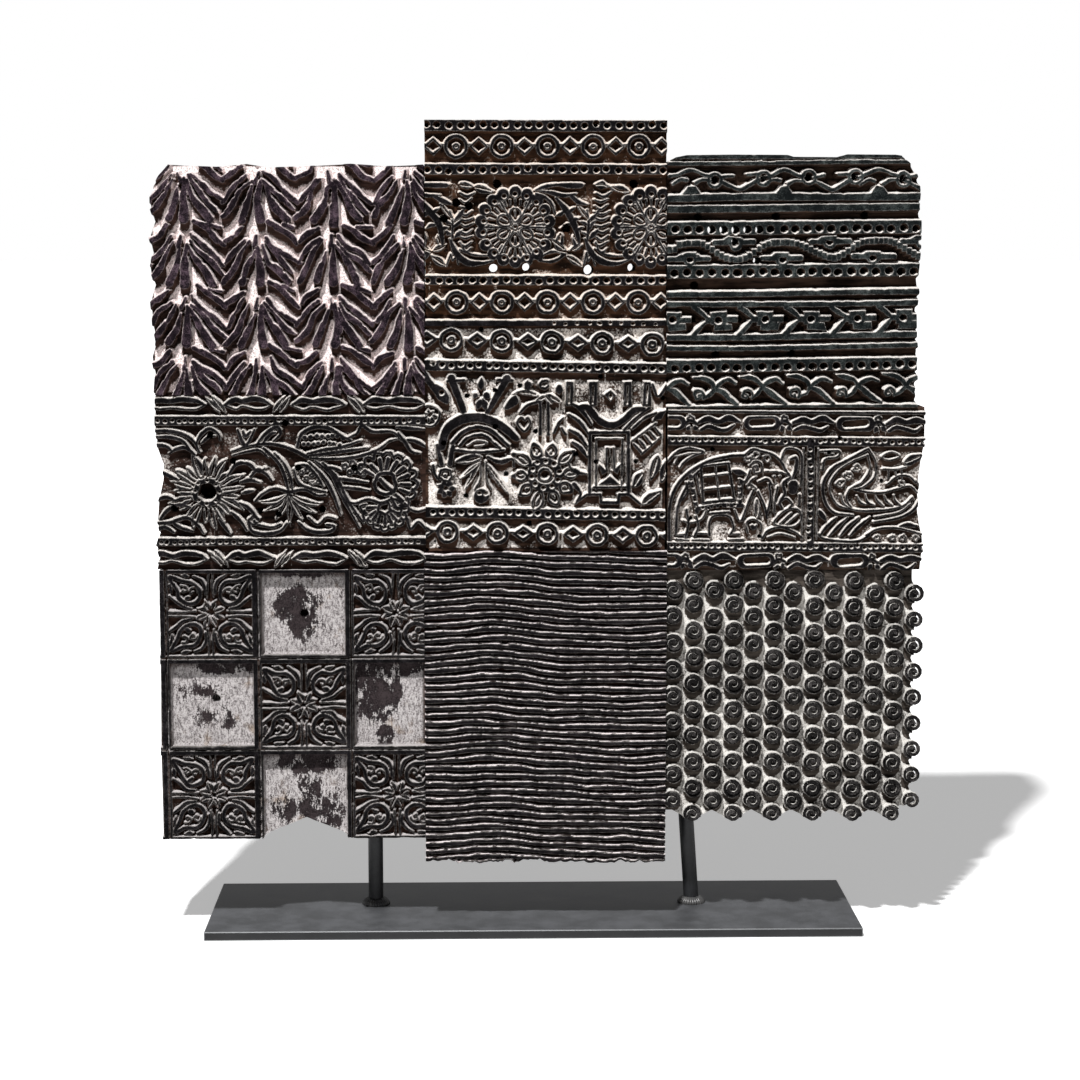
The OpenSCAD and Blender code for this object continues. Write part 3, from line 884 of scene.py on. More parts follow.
def new_piece(name: str, mesh: Mesh, material: Material, slot: str, node: str) -> None:
    """Puts a finished mesh in the scene in place of a node.

    Args:
        name: Name of the piece.
        mesh: Its mesh, in place.
        material: Its finish.
        slot: The record's material slot, which is not used.
        node: The node that it stands for.
    """
    piece = bpy.data.objects.new(name, mesh)
    bpy.context.scene.collection.objects.link(piece)
    mesh.materials.clear()
    mesh.materials.append(material)
    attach(piece, BODY)
    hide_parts(node)
    LOG.info("%s: %d faces", name, len(mesh.polygons))


def block_box(node: str) -> tuple[Array, Array]:
    """Corners of a block in millimetres, with the seams round it closed to a hair."""
    low, high = (np.array(c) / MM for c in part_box(node))
    return low - SEAM, high + SEAM


class BakeMap:
    """Flat layout of a block's faces: the front on top, the sides in strips and the back below it."""

    @staticmethod
    def front(share: Array) -> Array:
        """Layout of the front's corners, which are given as shares of the block's size."""
        return share[..., (0, 2)] * [0.97, 0.62] + [0.015, 0.365]

    @staticmethod
    def back(share: Array) -> Array:
        """Layout of the back's corners."""
        return share[..., (0, 2)] * [0.35, 0.32] + [0.63, 0.02]

    @staticmethod
    def sides(share: Array) -> Array:
        """Layout of the sides' corners, a strip for each side.

        Args:
            share: Corners of each face, as shares of the block's size.

        Returns:
            Their places on the map.
        """
        middle = share.mean(1)
        gaps = np.stack([middle[:, 2], 1 - middle[:, 0], 1 - middle[:, 2], middle[:, 0]], -1)
        strip = gaps.argmin(1)[:, None]
        along = np.where(strip % 2 == 0, share[..., 0], share[..., 2])
        return np.stack([0.015 + 0.27 * along + 0.3 * (strip // 2),
                         0.015 + 0.15 * np.clip(share[..., 1], 0, 1) + 0.17 * (strip % 2)], -1)

    @staticmethod
    def store(mesh: Mesh, spread: Array) -> None:
        """Keeps the layout as the mesh's only map."""
        for layer in list(mesh.uv_layers):
            mesh.uv_layers.remove(layer)
        mesh.uv_layers.new(name="OFBake").data.foreach_set("uv", spread.ravel())


@dataclass
class CarvedBlock:
    """One carved block: sizes of its carving, its strokes and its finish."""

    node: str = ""
    seed: int = 1
    pitch: float = 0.56
    depth: float = 8.0
    draft: float = 1.7
    rounding: float = 0.28
    ragged: float = 1.0
    side_rows: int = 5
    side_wave: float = 0.25
    back_inset: float = 0.5
    reach: float = 0.0
    # Turns the up direction for chalk and painted light sideways by this angle, towards the lamp.
    dust_and_light_lean: float = 0.0
    finish: CarvedWood = CarvedWood("carved wood", 1.0)
    face: Relief = field(init=False)

    def carve(self) -> None:
        """Cuts the block's pattern."""
        raise NotImplementedError

    def build(self) -> None:
        """Carves the block and puts it in place of its node."""
        low, high = block_box(self.node)
        high[0] += self.reach
        self.face = Relief(high[0] - low[0], high[2] - low[2], self.pitch, self.seed)
        self.carve()
        new_piece(self.node.replace("_block", "_carving"), self.mesh(low, high), self.finish.material(),
                  self.node + "_wood", self.node)

    def mesh(self, low: Array, high: Array) -> Mesh:
        """Closed mesh of the carved block.

        Args:
            low: Lowest corner of the block, in millimetres.
            high: Highest corner of the block, in millimetres.

        Returns:
            The mesh in metres, with its stored values and bake map.
        """
        r = self.face
        even = np.column_stack([r.x.ravel(), r.z.ravel()])
        sink, values = self.levels()
        front = np.column_stack([r.x.ravel(), sink.ravel(), r.z.ravel()])
        grid = np.arange(r.x.size).reshape(r.x.shape)
        quads = np.stack([grid[:-1, :-1], grid[:-1, 1:], grid[1:, 1:], grid[1:, :-1]], -1).reshape(-1, 4)
        loop = np.concatenate([grid[0, :-1], grid[:-1, -1], grid[-1, :0:-1], grid[:0:-1, 0]])
        quads, rims = self.open_bores(even, front, quads)
        places, sides, rings = self.walls(front, loop, rims, high[1] - low[1])
        back = self.back(places, rings)
        mesh = bpy.data.meshes.new(self.node)
        mesh.vertices.add(len(places))
        mesh.vertices.foreach_set("co", ((places + low) * MM).ravel())
        sections = (quads, sides, back)
        corners = np.concatenate([section.ravel() for section in sections])
        totals = np.concatenate([np.full(len(section), section.shape[1]) for section in sections])
        mesh.loops.add(len(corners))
        mesh.loops.foreach_set("vertex_index", corners)
        mesh.polygons.add(len(totals))
        mesh.polygons.foreach_set("loop_start", np.concatenate([[0], np.cumsum(totals)[:-1]]))
        mesh.update(calc_edges=True)
        for name, (value, rest) in values.items():
            stored = np.full(len(places), rest)
            stored[: value.size] = value.ravel()
            mesh.attributes.new(name, "FLOAT", "POINT").data.foreach_set("value", stored.astype(np.float32))
        share = places / (high - low)
        layouts = zip((BakeMap.front, BakeMap.sides, BakeMap.back), sections)
        BakeMap.store(mesh, np.vstack([lay(share[section]).reshape(-1, 2) for lay, section in layouts]))
        mesh.set_sharp_from_angle(angle=SHARP)
        mesh.validate()
        return mesh

    def open_bores(self, even: Array, front: Array, quads: Array) -> tuple[Array, list[Array]]:
        """Opens the through holes in the carved face, and rounds their rims.

        Args:
            even: Points of the face before any was drawn onto a ridge's edge.
            front: Points of the carved face, whose rims are moved.
            quads: Corners of its faces.

        Returns:
            The faces that are left, and the points round each hole in order.
        """
        kept, rims = np.ones(len(quads), bool), []
        middles = even[quads].mean(1)
        for x, z, radius in self.face.bores:
            gone = np.hypot(middles[:, 0] - x, middles[:, 1] - z) < radius
            kept &= ~gone
            rim = np.intersect1d(quads[gone], quads[~gone])
            angle = np.arctan2(even[rim, 1] - z, even[rim, 0] - x)
            rim, angle = rim[np.argsort(angle)], np.sort(angle)
            front[rim, 0] = x + radius * np.cos(angle)
            front[rim, 2] = z + radius * np.sin(angle)
            rims.append(rim)
        return quads[kept], rims

    def walls(self, front: Array, loop: Array, rims: list[Array],
              thick: float) -> tuple[Array, Array, list[Array]]:
        """Sides of the block and of its through holes.

        Args:
            front: Points of the carved face.
            loop: The outer ones of them, in order.
            rims: Those round each through hole, in order.
            thick: Thickness of the block.

        Returns:
            All points, the sides' faces, and the points round the back and round each of its holes.
        """
        points, faces, count, ring = [front], [], len(front), loop
        for share in np.linspace(0, 1, self.side_rows + 1)[1:]:
            following = count + np.arange(len(loop))
            faces.append(np.stack([ring, following, np.roll(following, -1), np.roll(ring, -1)], -1))
            points.append(self.side_row(front[loop], thick, share))
            count += len(loop)
            ring = following
        rings = [ring]
        for rim in rims:
            following = count + np.arange(len(rim))
            faces.append(np.stack([rim, np.roll(rim, -1), np.roll(following, -1), following], -1))
            points.append(front[rim] * [1, 0, 1] + [0, thick, 0])
            count += len(rim)
            rings.append(following)
        return np.vstack(points), np.vstack(faces), rings

    def side_row(self, row: Array, thick: float, share: float) -> Array:
        """Moves the face's outer points back to a row of the sides, and unevenly inwards.

        Args:
            row: The outer points.
            thick: Thickness of the block.
            share: Share of it at which the row lies.

        Returns:
            The row's points.
        """
        row[:, 1] += (thick - row[:, 1]) * share
        along = np.arange(len(row), dtype=float)[None]
        wave = self.side_wave * rough(along, row[None, :, 1], 9.0, self.seed)[0]
        inward = np.array([self.face.width, 0, self.face.height]) / 2 - row
        inward[:, 1] = 0
        inset = np.abs(wave) + (self.back_inset if share == 1 else 0)
        return row + inward / np.linalg.norm(inward, axis=1)[:, None] * inset[:, None]

    @staticmethod
    def back(places: Array, rings: list[Array]) -> Array:
        """Faces of the flat back.

        Args:
            places: The block's points.
            rings: Those round the back and round each of its holes, in order.

        Returns:
            Corners of the faces.
        """
        order = np.concatenate(rings)
        owner = np.repeat(np.arange(len(rings)), [len(ring) for ring in rings])
        after = np.concatenate([np.roll(np.flatnonzero(owner == k), -1) for k in range(len(rings))])
        flat = [Vector((places[i, 0], places[i, 2])) for i in order]
        spans = np.array(delaunay_2d_cdt(flat, list(enumerate(after.tolist())), [], 1, 1e-6)[2])
        in_hole = (owner[spans[:, 0]] > 0) & (np.ptp(owner[spans], axis=1) == 0)
        back = order[spans[~in_hole]]
        a, b, c = (places[back[:, k]][:, (0, 2)] for k in range(3))
        turned = np.cross(b - a, c - a) > 0
        back[turned] = back[turned][:, ::-1]
        return back

    def levels(self) -> tuple[Array, dict[str, tuple[Array, float]]]:
        """Depths of the face's points, with the points next to a ridge's edge drawn onto it.

        Returns:
            The depth below the face, and the stored values with what the sides get.
        """
        r = self.face
        spots = r.x.copy(), r.z.copy(), self.seed
        chips = np.maximum(CHIPS.over(*spots) - CHIP_BOUND, 0)
        uneven = EDGE_WAVE.over(*spots) + EDGE_NICKS.over(*spots) + CHIP_DEPTH * chips
        edge = r.edge + self.ragged * uneven
        rise, run = np.gradient(edge, r.pitch)
        steep = np.maximum(np.hypot(rise, run), LEAST_SLOPE)
        near = (np.abs(edge) < SNAP * r.pitch) & (r.edge < FAR / 2)
        near[[0, -1]] = near[:, [0, -1]] = False
        r.x[near] -= (edge * run / steep**2)[near]
        r.z[near] -= (edge * rise / steep**2)[near]
        edge = np.where(near, 0, edge)
        wall = np.clip(edge / self.draft, 0, 1)
        ground = self.depth + GROUND_WAVE.over(*spots) + GOUGES.over(*spots)
        top = FACE_SINK + FACE_WAVE.over(*spots) + FACE_GRAIN.over(*spots)
        worn = self.rounding * np.exp(np.minimum(edge, 0) / (0.3 + 0.6 * self.rounding))
        worn *= 1 + RIM_WEAR.over(*spots)
        sink = np.maximum(top + worn, 0) * (1 - wall) + ground * wall * (1.3 - 0.3 * wall) + r.drop
        lean = math.radians(self.dust_and_light_lean)
        values = {
            "relief": (np.clip(1 - sink / self.depth, 0, 1), 0.0),
            "rim": (np.clip(edge, -RIM_LIMIT, RIM_LIMIT), RIM_LIMIT),
            # Which way each wall faces, turned sideways by the lean; it steers the chalk and the painted light.
            "lift": ((rise * math.cos(lean) - run * math.sin(lean)) / steep, 0.0),
            "bare": (r.bare, 0.0),
            # Painted shadow below each ridge, and bare wood at the block's edge.
            "painted_shadow_and_edges": (self.painted_shadow_and_edges(edge < 0), 2.0),
            "soot_and_painted_shade": (r.soot_and_painted_shade, 0.0),
        }
        return sink, values

    def painted_shadow_and_edges(self, ridges: Array) -> Array:
        """Painted shadow from a ridge above each point, and the bare wood that handling leaves at the block's
        edge.

        Args:
            ridges: Whether a point is on a ridge.

        Returns:
            Values from 0 in the open to 1 right below a ridge.
        """
        r = self.face
        inset = np.minimum(np.minimum(r.x, r.width - r.x), np.minimum(r.z, r.height - r.z))
        found = np.clip(1.4 - inset / 1.5, 0, 1)
        # Painted shadow: a ridge up to one relief depth above darkens the point below it.
        for step in range(1, round(self.depth / r.pitch)):
            above = np.zeros(ridges.shape)
            above[:-step] = ridges[step:]
            np.maximum(found, above * (1 - (step * r.pitch / self.depth) ** 2), out=found)
        return found


@dataclass
class RosetteBlock(CarvedBlock):
    """Upper middle block: rosettes between drilled rails and rows of rings and diamonds."""

    node: str = "rosette_block"
    ragged: float = 0.6
    seed: int = 40
    hole: float = 2.2
    pitch: float = 0.47
    depth: float = 6.0
    draft: float = 1.2
    finish: CarvedWood = CarvedWood("rosette wood", 40, wood="4c3527", chalk="eaddd2", ground_chalk=0.4)

    def carve(self) -> None:
        """Cuts the rails, the rows of rings and the flowered field."""
        r = self.face
        for low, high, holes in ((122.5, 130, 126.5), (95.5, 102.5, 98.6), (25.5, 32, 28.6)):
            r.box(-2, low, r.width + 2, high)
            r.drill([(1.5 + 7.15 * i, holes) for i in range(22)], self.hole)
        r.box(-2, -1, r.width + 2, 3.6)
        r.drill([(4 + 7.15 * i, 1.4) for i in range(11, 21)], 1.1)
        for z in (113.2, 14.8):
            self.ring_row(z)
        for x in (57.5, 144):
            with r.at(x, 62.5):
                self.rosette()
        for shift in (0, -86.5):
            with r.at(shift, 0):
                self.sprays()
        for x, z, radius in ((43.5, 36.5, 2.7), (64.5, 37.2, 2.5), (104.5, 35.5, 3.2), (132, 37, 2.6)):
            with r.cutting():
                r.disc(x, z, radius + 1)
            r.bore(x, z, radius)
        r.pits([(20, 78), (12, 68), (46, 90), (133, 90), (28, 76), (90, 62)], 2.6)

    def ring_row(self, z: float) -> None:
        """Cuts a row of rings with hollow diamonds between them.

        Args:
            z: Height of the row.
        """
        r = self.face
        r.wander = 0.12
        for i in range(5):
            x = 20 + 29 * i
            r.ring(x, z, 7.8, 5.4)
            r.disc(x, z, 2.4)
            r.drill([(x, z)], 0.8)
        for i in range(6):
            x = 5.5 + 29 * i
            r.line([(x - 8, z + 1.5), (x, z + 1), (x + 8, z + 1.5)], 1.2, smooth=False)
            r.diamond(x, z, (6.4, 6), (4, 3.7))
        r.wander = 0.35

    def rosette(self) -> None:
        """Cuts a flower of six cells inside a round of ribs and a scalloped edge."""
        r = self.face
        r.wander = 0.15
        r.ring(0, 0, 2.2, 0.9)
        for _ in r.around(6, 30):
            r.line([(3.4, 0), (7, 3.2), (10.6, 3), (12.4, 0), (10.6, -3), (7, -3.2)], 1.5, closed=True)
            r.line([(6.4, 0), (10, 0)], 1.2, 1.9)
        for _ in r.around(6):
            r.line([(3, 0), (23, 0)], 1.3, 1.9)
        for _ in r.around(30, 6):
            r.line([(13.8, 0), (17.4, 0)], 1.1, 1.8)
        for _ in r.around(18, 10):
            r.disc(22, 0, 3.95)
            with r.cutting():
                r.disc(20.6, 0, 1.5)
        r.wander = 0.35

    def sprays(self) -> None:
        """Cuts the leaves and barbs that join two rosettes, from the left rosette's place."""
        r = self.face
        with r.at(86.5, 0):
            r.fill([(-17, 85.5), (-11.5, 88.8), (-2.5, 90.8), (14.5, 90.2), (14, 87),
                    (5.5, 86.8), (-2.5, 87.4)])
            r.line([(-13.5, 85.4), (-6.5, 84.2), (1.5, 82.6), (9.5, 83.4)], 1.4, 3, 3, 1.4)
            r.line([(-15.5, 84.4), (-9.5, 81.2), (-5.5, 77), (-3.6, 72)], 1.6, 2.6, 2.2, 1.2)
            r.line([(6.5, 82), (11.5, 79), (17.5, 77)], 3, 3.4, 1.6)
            r.line([(22, 84), (27, 82), (32, 84.4)], 1.6, 2.4, 1.2)
            for i in range(9):
                low = 3.9 * i
                r.line([(31 - 0.4 * abs(i - 4), 80.5 - low), (26, 78.2 - low), (22, 80 - low)], 1.2, 2.1, 1.2)
            r.line([(-3, 80), (3, 73), (8, 65), (11, 56), (11, 50)], 2, 4.2, 4.6, 3.6, 1.6)
            r.line([(16, 73), (17.6, 65), (17, 52)], 1.4, 2.2, 1.4)
            sprigs = (((18, 67), (9.6, 77.6), 3.4, 0.8), ((18, 66), (26, 75), 3, 0),
                      ((17, 61), (24, 68), 3, 0), ((18, 64), (11.6, 66.6), 2.8, 0),
                      ((18, 55), (24, 61), 3, 0), ((17, 57), (12.6, 60), 2.6, 0),
                      ((21.5, 89.5), (30.5, 88), 5, 1), ((31, 88), (44, 84.6), 5, 1.2),
                      ((3, 71), (10, 75), 3, 0), ((6, 66), (13, 69.4), 3, 0), ((8, 60), (15, 63), 3, 0),
                      ((4, 73), (-3.4, 69), 3, 0), ((7, 65), (0, 61.6), 3, 0),
                      ((-0.5, 59.6), (-1.5, 47.5), 5.6, 1.6), ((8, 58), (11, 48), 4, 1),
                      ((3.5, 44.6), (14.8, 37.4), 4.8, 1.2), ((4.5, 47.4), (14, 51.5), 4.6, 1.1),
                      ((3.5, 47.5), (-7, 56), 3.8, 1), ((3.5, 45.6), (-15.5, 41.6), 8.6, 0))
            for base, tip, width, vein in sprigs:
                r.leaf(base, tip, width, vein)
            with r.cutting():
                r.leaf((0, 45), (-11.5, 42.6), 4)
            r.line([(16, 55), (20, 45.6), (27, 40.4), (36, 39.6), (43.5, 42)], 1.6, 4.2, 4.6, 3, 1.4)
            r.line([(22.5, 53), (25.5, 47.4), (32, 44.6), (42, 44.4)], 1.2, 1.8, 1.8, 1)
            r.line([(14.6, 39), (16.4, 46.5), (17.6, 41.6), (19.8, 44.6), (21.4, 38.6)], 1.5, smooth=False)


@dataclass
class ChevronBlock(CarvedBlock):
    """Upper left block: rows of nested leaf chevrons."""

    node: str = "chevron_block"
    seed: int = 10
    draft: float = 1.0
    rounding: float = 0.6
    ragged: float = 2.0
    finish: CarvedWood = CarvedWood("chevron wood", 10, ink="100b0f", ink_worn="54454e", rubbed="dcc8c8",
                                    wood="4a3832", chalk="f6e9e7", ledge_chalk_and_light=0.84, ground_chalk=0.66,
                                    painted_shadow_strength=0.42, grime=0.46)
    column_pitch: float = 47
    row_pitch: float = 39.4

    def carve(self) -> None:
        """Cuts each chevron of leaves, row by row, and the worn outer edges."""
        r = self.face
        r.wander, r.swell = 0.95, 1.12
        r.trim(Side.LEFT, [(0, 1), (12, 2), (24, 0), (34, 3), (45, 1), (60, 0), (70, 3), (80, 0), (90, 2),
                           (100, 0), (110, 3.5), (118, 1), (126, 1), (133, 3), (140, 7), (146, 13)], 40)
        r.trim(Side.TOP, [(0, 6), (6, 2), (12, 0.5), (30, 1.5), (44, 2), (62, 0), (76, 2.4), (100, 1.5),
                          (128, 0), (150, 1.5), (174, 0.5)])
        for row in range(5):
            for column in range(-1, 4):
                with r.at(45.5 + self.column_pitch * column, 147 - self.row_pitch * row):
                    self.chevron()

    def chevron(self) -> None:
        """Cuts one chevron: nested leaves that fan out from the stems at both sides."""
        r = self.face
        r.line([(-17.5, 41.6), (-9.5, 37.3), (-2.5, 31.6), (2, 28)], 2.6, 3.6, 3.6, 2.8)
        r.line([(2.2, 29), (7.5, 32.8), (13.8, 38)], 2.8, 3.4, 2.4)
        r.line([(-7.8, 40), (0.4, 37.9)], 2.8, 2.2)
        r.line([(-18.6, 33.2), (-13.2, 27.6), (-6.2, 21), (1.6, 14.8)], 2, 3, 3.2, 2.4)
        r.line([(-19.6, 30.4), (-14, 22.8), (-7, 15.6), (0, 9)], 1.8, 3, 3.4, 2.2)
        r.line([(2.4, 15.6), (8.4, 23.4), (14.6, 31)], 2.6, 3.2, 2.2)
        r.line([(1.6, 4.6), (7.2, 12), (13.2, 21.6), (17.6, 29)], 3.4, 4, 3, 1.8)
        r.line([(-20.4, 27.6), (-15.6, 18.6), (-11, 10.6), (-6, 3.2)], 1.8, 3.2, 4.8, 4.4)
        r.line([(13, 3.2), (17.2, 12.6), (21, 24)], 4.6, 3.8, 1.8)
        r.line([(-22.6, 3), (-22.6, 15), (-21.8, 28)], 5.6, 4.6, 2)
        r.line([(22.2, 27), (22.6, 33.6)], 2.8, 2)


@dataclass
class FloralBlock(CarvedBlock):
    """Middle left block: flower scroll between two beaded borders."""

    node: str = "floral_block"
    ragged: float = 0.6
    seed: int = 20
    pitch: float = 0.47
    depth: float = 5.5
    draft: float = 1.1
    reach: float = 1.3
    finish: CarvedWood = CarvedWood("floral wood", 20, wood="3a2a24", ledge_chalk_and_light=0.7, ground_chalk=0.4,
                                    rub_and_highlight=0.65, grime=0.44)

    def carve(self) -> None:
        """Cuts the borders, the bead rails and the scroll with its flowers."""
        r = self.face
        r.trim(Side.LEFT, [(0, 0), (8, 2), (16, 0), (24, 2.5), (32, 1), (45, 2), (58, 5), (68, 5.5), (78, 2),
                           (88, 1), (95, 0.5), (112, 1)])
        for middle in (106.6, 7):
            self.border(middle)
        for low, high, beads in ((93.8, 99.6, 96.3), (15.8, 21.4, 18)):
            r.box(-2, low, r.width + 2, high)
            r.drill([(3 + 4.25 * i, beads) for i in range(40)], 1.2)
        r.swell = 1.35
        self.daisy()
        self.leaves()
        self.pods()
        self.lotus()
        self.right_flowers()
        r.pits([(50, 70), (36, 87), (84, 95), (92, 66), (67, 38), (107, 39), (79, 36),
                (128, 66), (12, 40)], 2)

    def border(self, z: float) -> None:
        """Cuts a row of hollow wavy leaves with slanted leaves between them.

        Args:
            z: Height of the row.
        """
        r = self.face
        for left, right in ((-4, 33), (45, 76), (88, 123), (134, 174)):
            m = (left + right) / 2
            r.line([(left, z), (left + 7, z + 3.4), (m - 4, z + 2.4), (m + 4, z + 3.6), (right - 6, z + 2.8),
                    (right, z)], 1.6, 4, 3.4, 4, 3.4, 1.4)
            r.line([(left, z), (left + 8, z - 2.8), (m - 3, z - 1.4), (m + 5, z - 3.2), (right - 6, z - 3),
                    (right, z)], 1.4, 1.8, 1.6, 1.9, 1.4)
        for x, lean in ((38, -5), (42, -4.4), (80, 4), (84, 3.6), (128, -4.4), (131.6, -4)):
            r.leaf((x - lean, z - 5.4), (x + lean, z + 5.8), 3.4, 0.9)

    def daisy(self) -> None:
        """Cuts the large flower: long split petals round a beaded eye."""
        r = self.face
        with r.at(33.4, 50.6):
            for i in r.around(21, 8):
                r.leaf((9, 0), (23.5 + 3 * math.sin(2.4 * i), 0), 5, 1.1, 0.8 if i % 2 else -0.6)
            r.ring(0, 0, 9, 6.4)
            r.drill([(7.7 * math.cos(a), 7.7 * math.sin(a)) for a in TURN[::2]], 0.8)
        r.pits([(33.4, 50.6)], 5.4)

    def leaves(self) -> None:
        """Cuts the leaves at the left and along the top, with the branch that carries them."""
        r = self.face
        r.lines((1.4, 2.2, 1.9, 1.3), [(-2, 90.4), (9, 90), (19, 87.6), (26, 82), (28.6, 76)],
                [(1, 86), (10, 86), (18, 83.4), (23, 78)], [(-1, 81), (7, 80.6), (12, 77)],
                [(10, 75.6), (14, 79), (20, 79.4), (26, 75)],
                [(27, 81.6), (30, 88), (36, 91.4), (42, 88.4), (42.6, 84)], [(31, 82), (35, 86.6), (39, 86)],
                [(0, 45), (7, 47), (14, 44.6)], [(3, 34), (8, 39.6), (16, 42.8), (23, 41)],
                [(1, 30.6), (10, 31.6), (19, 33.6), (26, 31), (31, 24)], [(10, 31), (16, 27.4), (24, 25)],
                [(-1, 25.6), (6, 27.6), (12, 24)], [(41, 33), (45, 28), (48, 23.6)],
                [(49, 37), (55, 32), (59, 26)], [(54, 43), (60, 40), (66, 33)], [(56, 50), (63, 50.6)],
                [(55, 56.6), (61, 58.4), (67, 56)], [(5, 64.4), (9, 61), (15, 59)],
                [(54, 91), (58.4, 80.6), (64, 91)], [(57, 90.6), (58.8, 86.4), (61, 90.4)],
                [(66, 81.6), (71, 88), (79, 92.6), (81, 88), (76, 83)], [(70, 83), (75, 87.4), (78, 89.6)],
                [(47, 62), (52, 68), (60, 68.4), (66, 64.6), (71, 66)],
                [(62, 60), (66, 65), (72, 62), (75, 58)], [(155, 91), (164, 91.6), (174, 91)],
                [(156, 88.6), (161, 82), (164, 76.6), (171, 75)], [(163, 84), (168, 83.4), (174, 79)])
        r.line([(50, 77.4), (60, 80.4), (74, 81.6), (88, 78.6), (98, 73.4)], 1.4, 2, 2.2)
        r.line([(51, 74.6), (60, 77.2), (68, 77.6), (73, 73)], 1.3, 1.8, 1.3)
        r.line([(70, 79), (79, 70), (83.4, 61), (86, 51.6)], 1.6, 2.2, 1.6)
        r.line([(77, 76), (83, 69.6), (87, 60), (88.6, 52)], 1.3, 1.8, 1.4)

    def pods(self) -> None:
        """Cuts the beaded pods and the long strands of the stem between them."""
        r = self.face
        r.line([(91, 80), (94.6, 88), (102, 92), (112, 91.4), (120, 87.4), (126, 83)], 1.6, 2.4, 2.2, 1.4)
        for i in range(8):
            r.disc(97 + 3.4 * i, 86.4 - 0.05 * (i - 3.5) ** 2, 1.25)
            r.disc(95.4 + 3.4 * i, 82 - 0.06 * (i - 3.5) ** 2, 1.1)
        r.lines((1.3, 2, 1.9, 1.2), [(97, 75.4), (108, 78.6), (120, 79.4), (132, 83.6)],
                [(99, 74), (112, 75.2), (124, 77.6), (137, 79.4)],
                [(99, 72.2), (112, 71.2), (128, 72.4), (142, 78), (152, 83.6), (158.6, 84.4)],
                [(124, 84.4), (130, 88.4), (133, 92.6), (140, 89.4), (153, 88.8), (158.6, 84)],
                [(99, 70), (109, 60), (115, 48), (118.6, 35)],
                [(103, 70.6), (113, 61.6), (120, 48), (131, 27)],
                [(108, 69.4), (116, 60), (123.6, 46), (134, 30)], [(112, 67), (120, 64.4)],
                [(89, 64), (92.6, 57), (100, 52.6), (109, 50.6)],
                [(91, 68), (98, 67.4), (104, 61), (108, 54)], [(114, 59.6), (126, 59), (136, 57)],
                [(118, 54), (128, 53.4), (137, 51)])
        r.rings([(94.4, 63.4), (97, 59.4), (100.8, 61.4), (101, 56.6), (104.6, 56.8), (98, 65)], 1.7, 0.6)

    def lotus(self) -> None:
        """Cuts the hanging flower and the curls below it."""
        r = self.face
        tips = ((65, 45), (69, 37.6), (77, 32), (86.6, 28), (95, 32), (103, 37), (108, 43.4))
        for i, tip in enumerate(tips):
            r.leaf((86.6, 50), tip, 4.4, 1.1, 3 - i)
        r.line([(64, 44.4), (69, 50), (77, 53), (86, 50.6), (97, 52.6), (104, 48.6), (109, 49)], 1.4, 2, 1.4)
        r.spiral(63, 31.6, 3.8, 1.1, 1.5, start=20)
        r.line([(59.4, 31), (62, 26), (70, 23.6), (79, 25), (85, 31)], 1.5, 2.4, 1.4)
        r.lines(1.4, [(66, 29.6), (74, 27.6), (80, 30)], [(98, 34), (104, 29.6), (110, 34), (116, 32.4)])
        r.line([(92, 31), (97, 26.6), (105, 24), (113, 25), (114.6, 28.6), (110, 29.6)], 1.4, 2.2, 1.4)

    def right_flowers(self) -> None:
        """Cuts the scalloped flowers at the right."""
        r = self.face
        with r.at(148, 56):
            for _ in r.around(11, 148, -21.5):
                r.line([(9.5, 0), (15.4, 0)], 1.7, 2.3)
                r.line([(17, -3.6), (20, -2), (20.6, 0), (20, 2), (17, 3.6)], 1.6)
            r.ring(0, 0, 8, 6)
            r.line([(-4, 2), (1, -2), (5, -5)], 2.2)
        r.rings([(122, 67), (127, 69.4), (132, 67), (129, 63.6), (134, 62), (125, 63)], 2, 0.8)
        with r.at(147.4, 41):
            for _ in r.around(9, 186, 21):
                r.line([(6, 0), (11, 0)], 1.6, 2)
                r.line([(12.4, -3), (15.2, -1.6), (15.6, 0), (15.2, 1.6), (12.4, 3)], 1.6)
            r.ring(0, -1, 4.6, 2.8)
        r.line([(121, 45.6), (128, 43.4), (136, 45), (145, 44), (153, 46), (160, 42)], 1.4, 2, 1.4)
        r.lines(1.6, [(161, 33), (164.4, 27), (169, 31), (174, 26)], [(163, 40), (168, 37.6), (174, 39)])


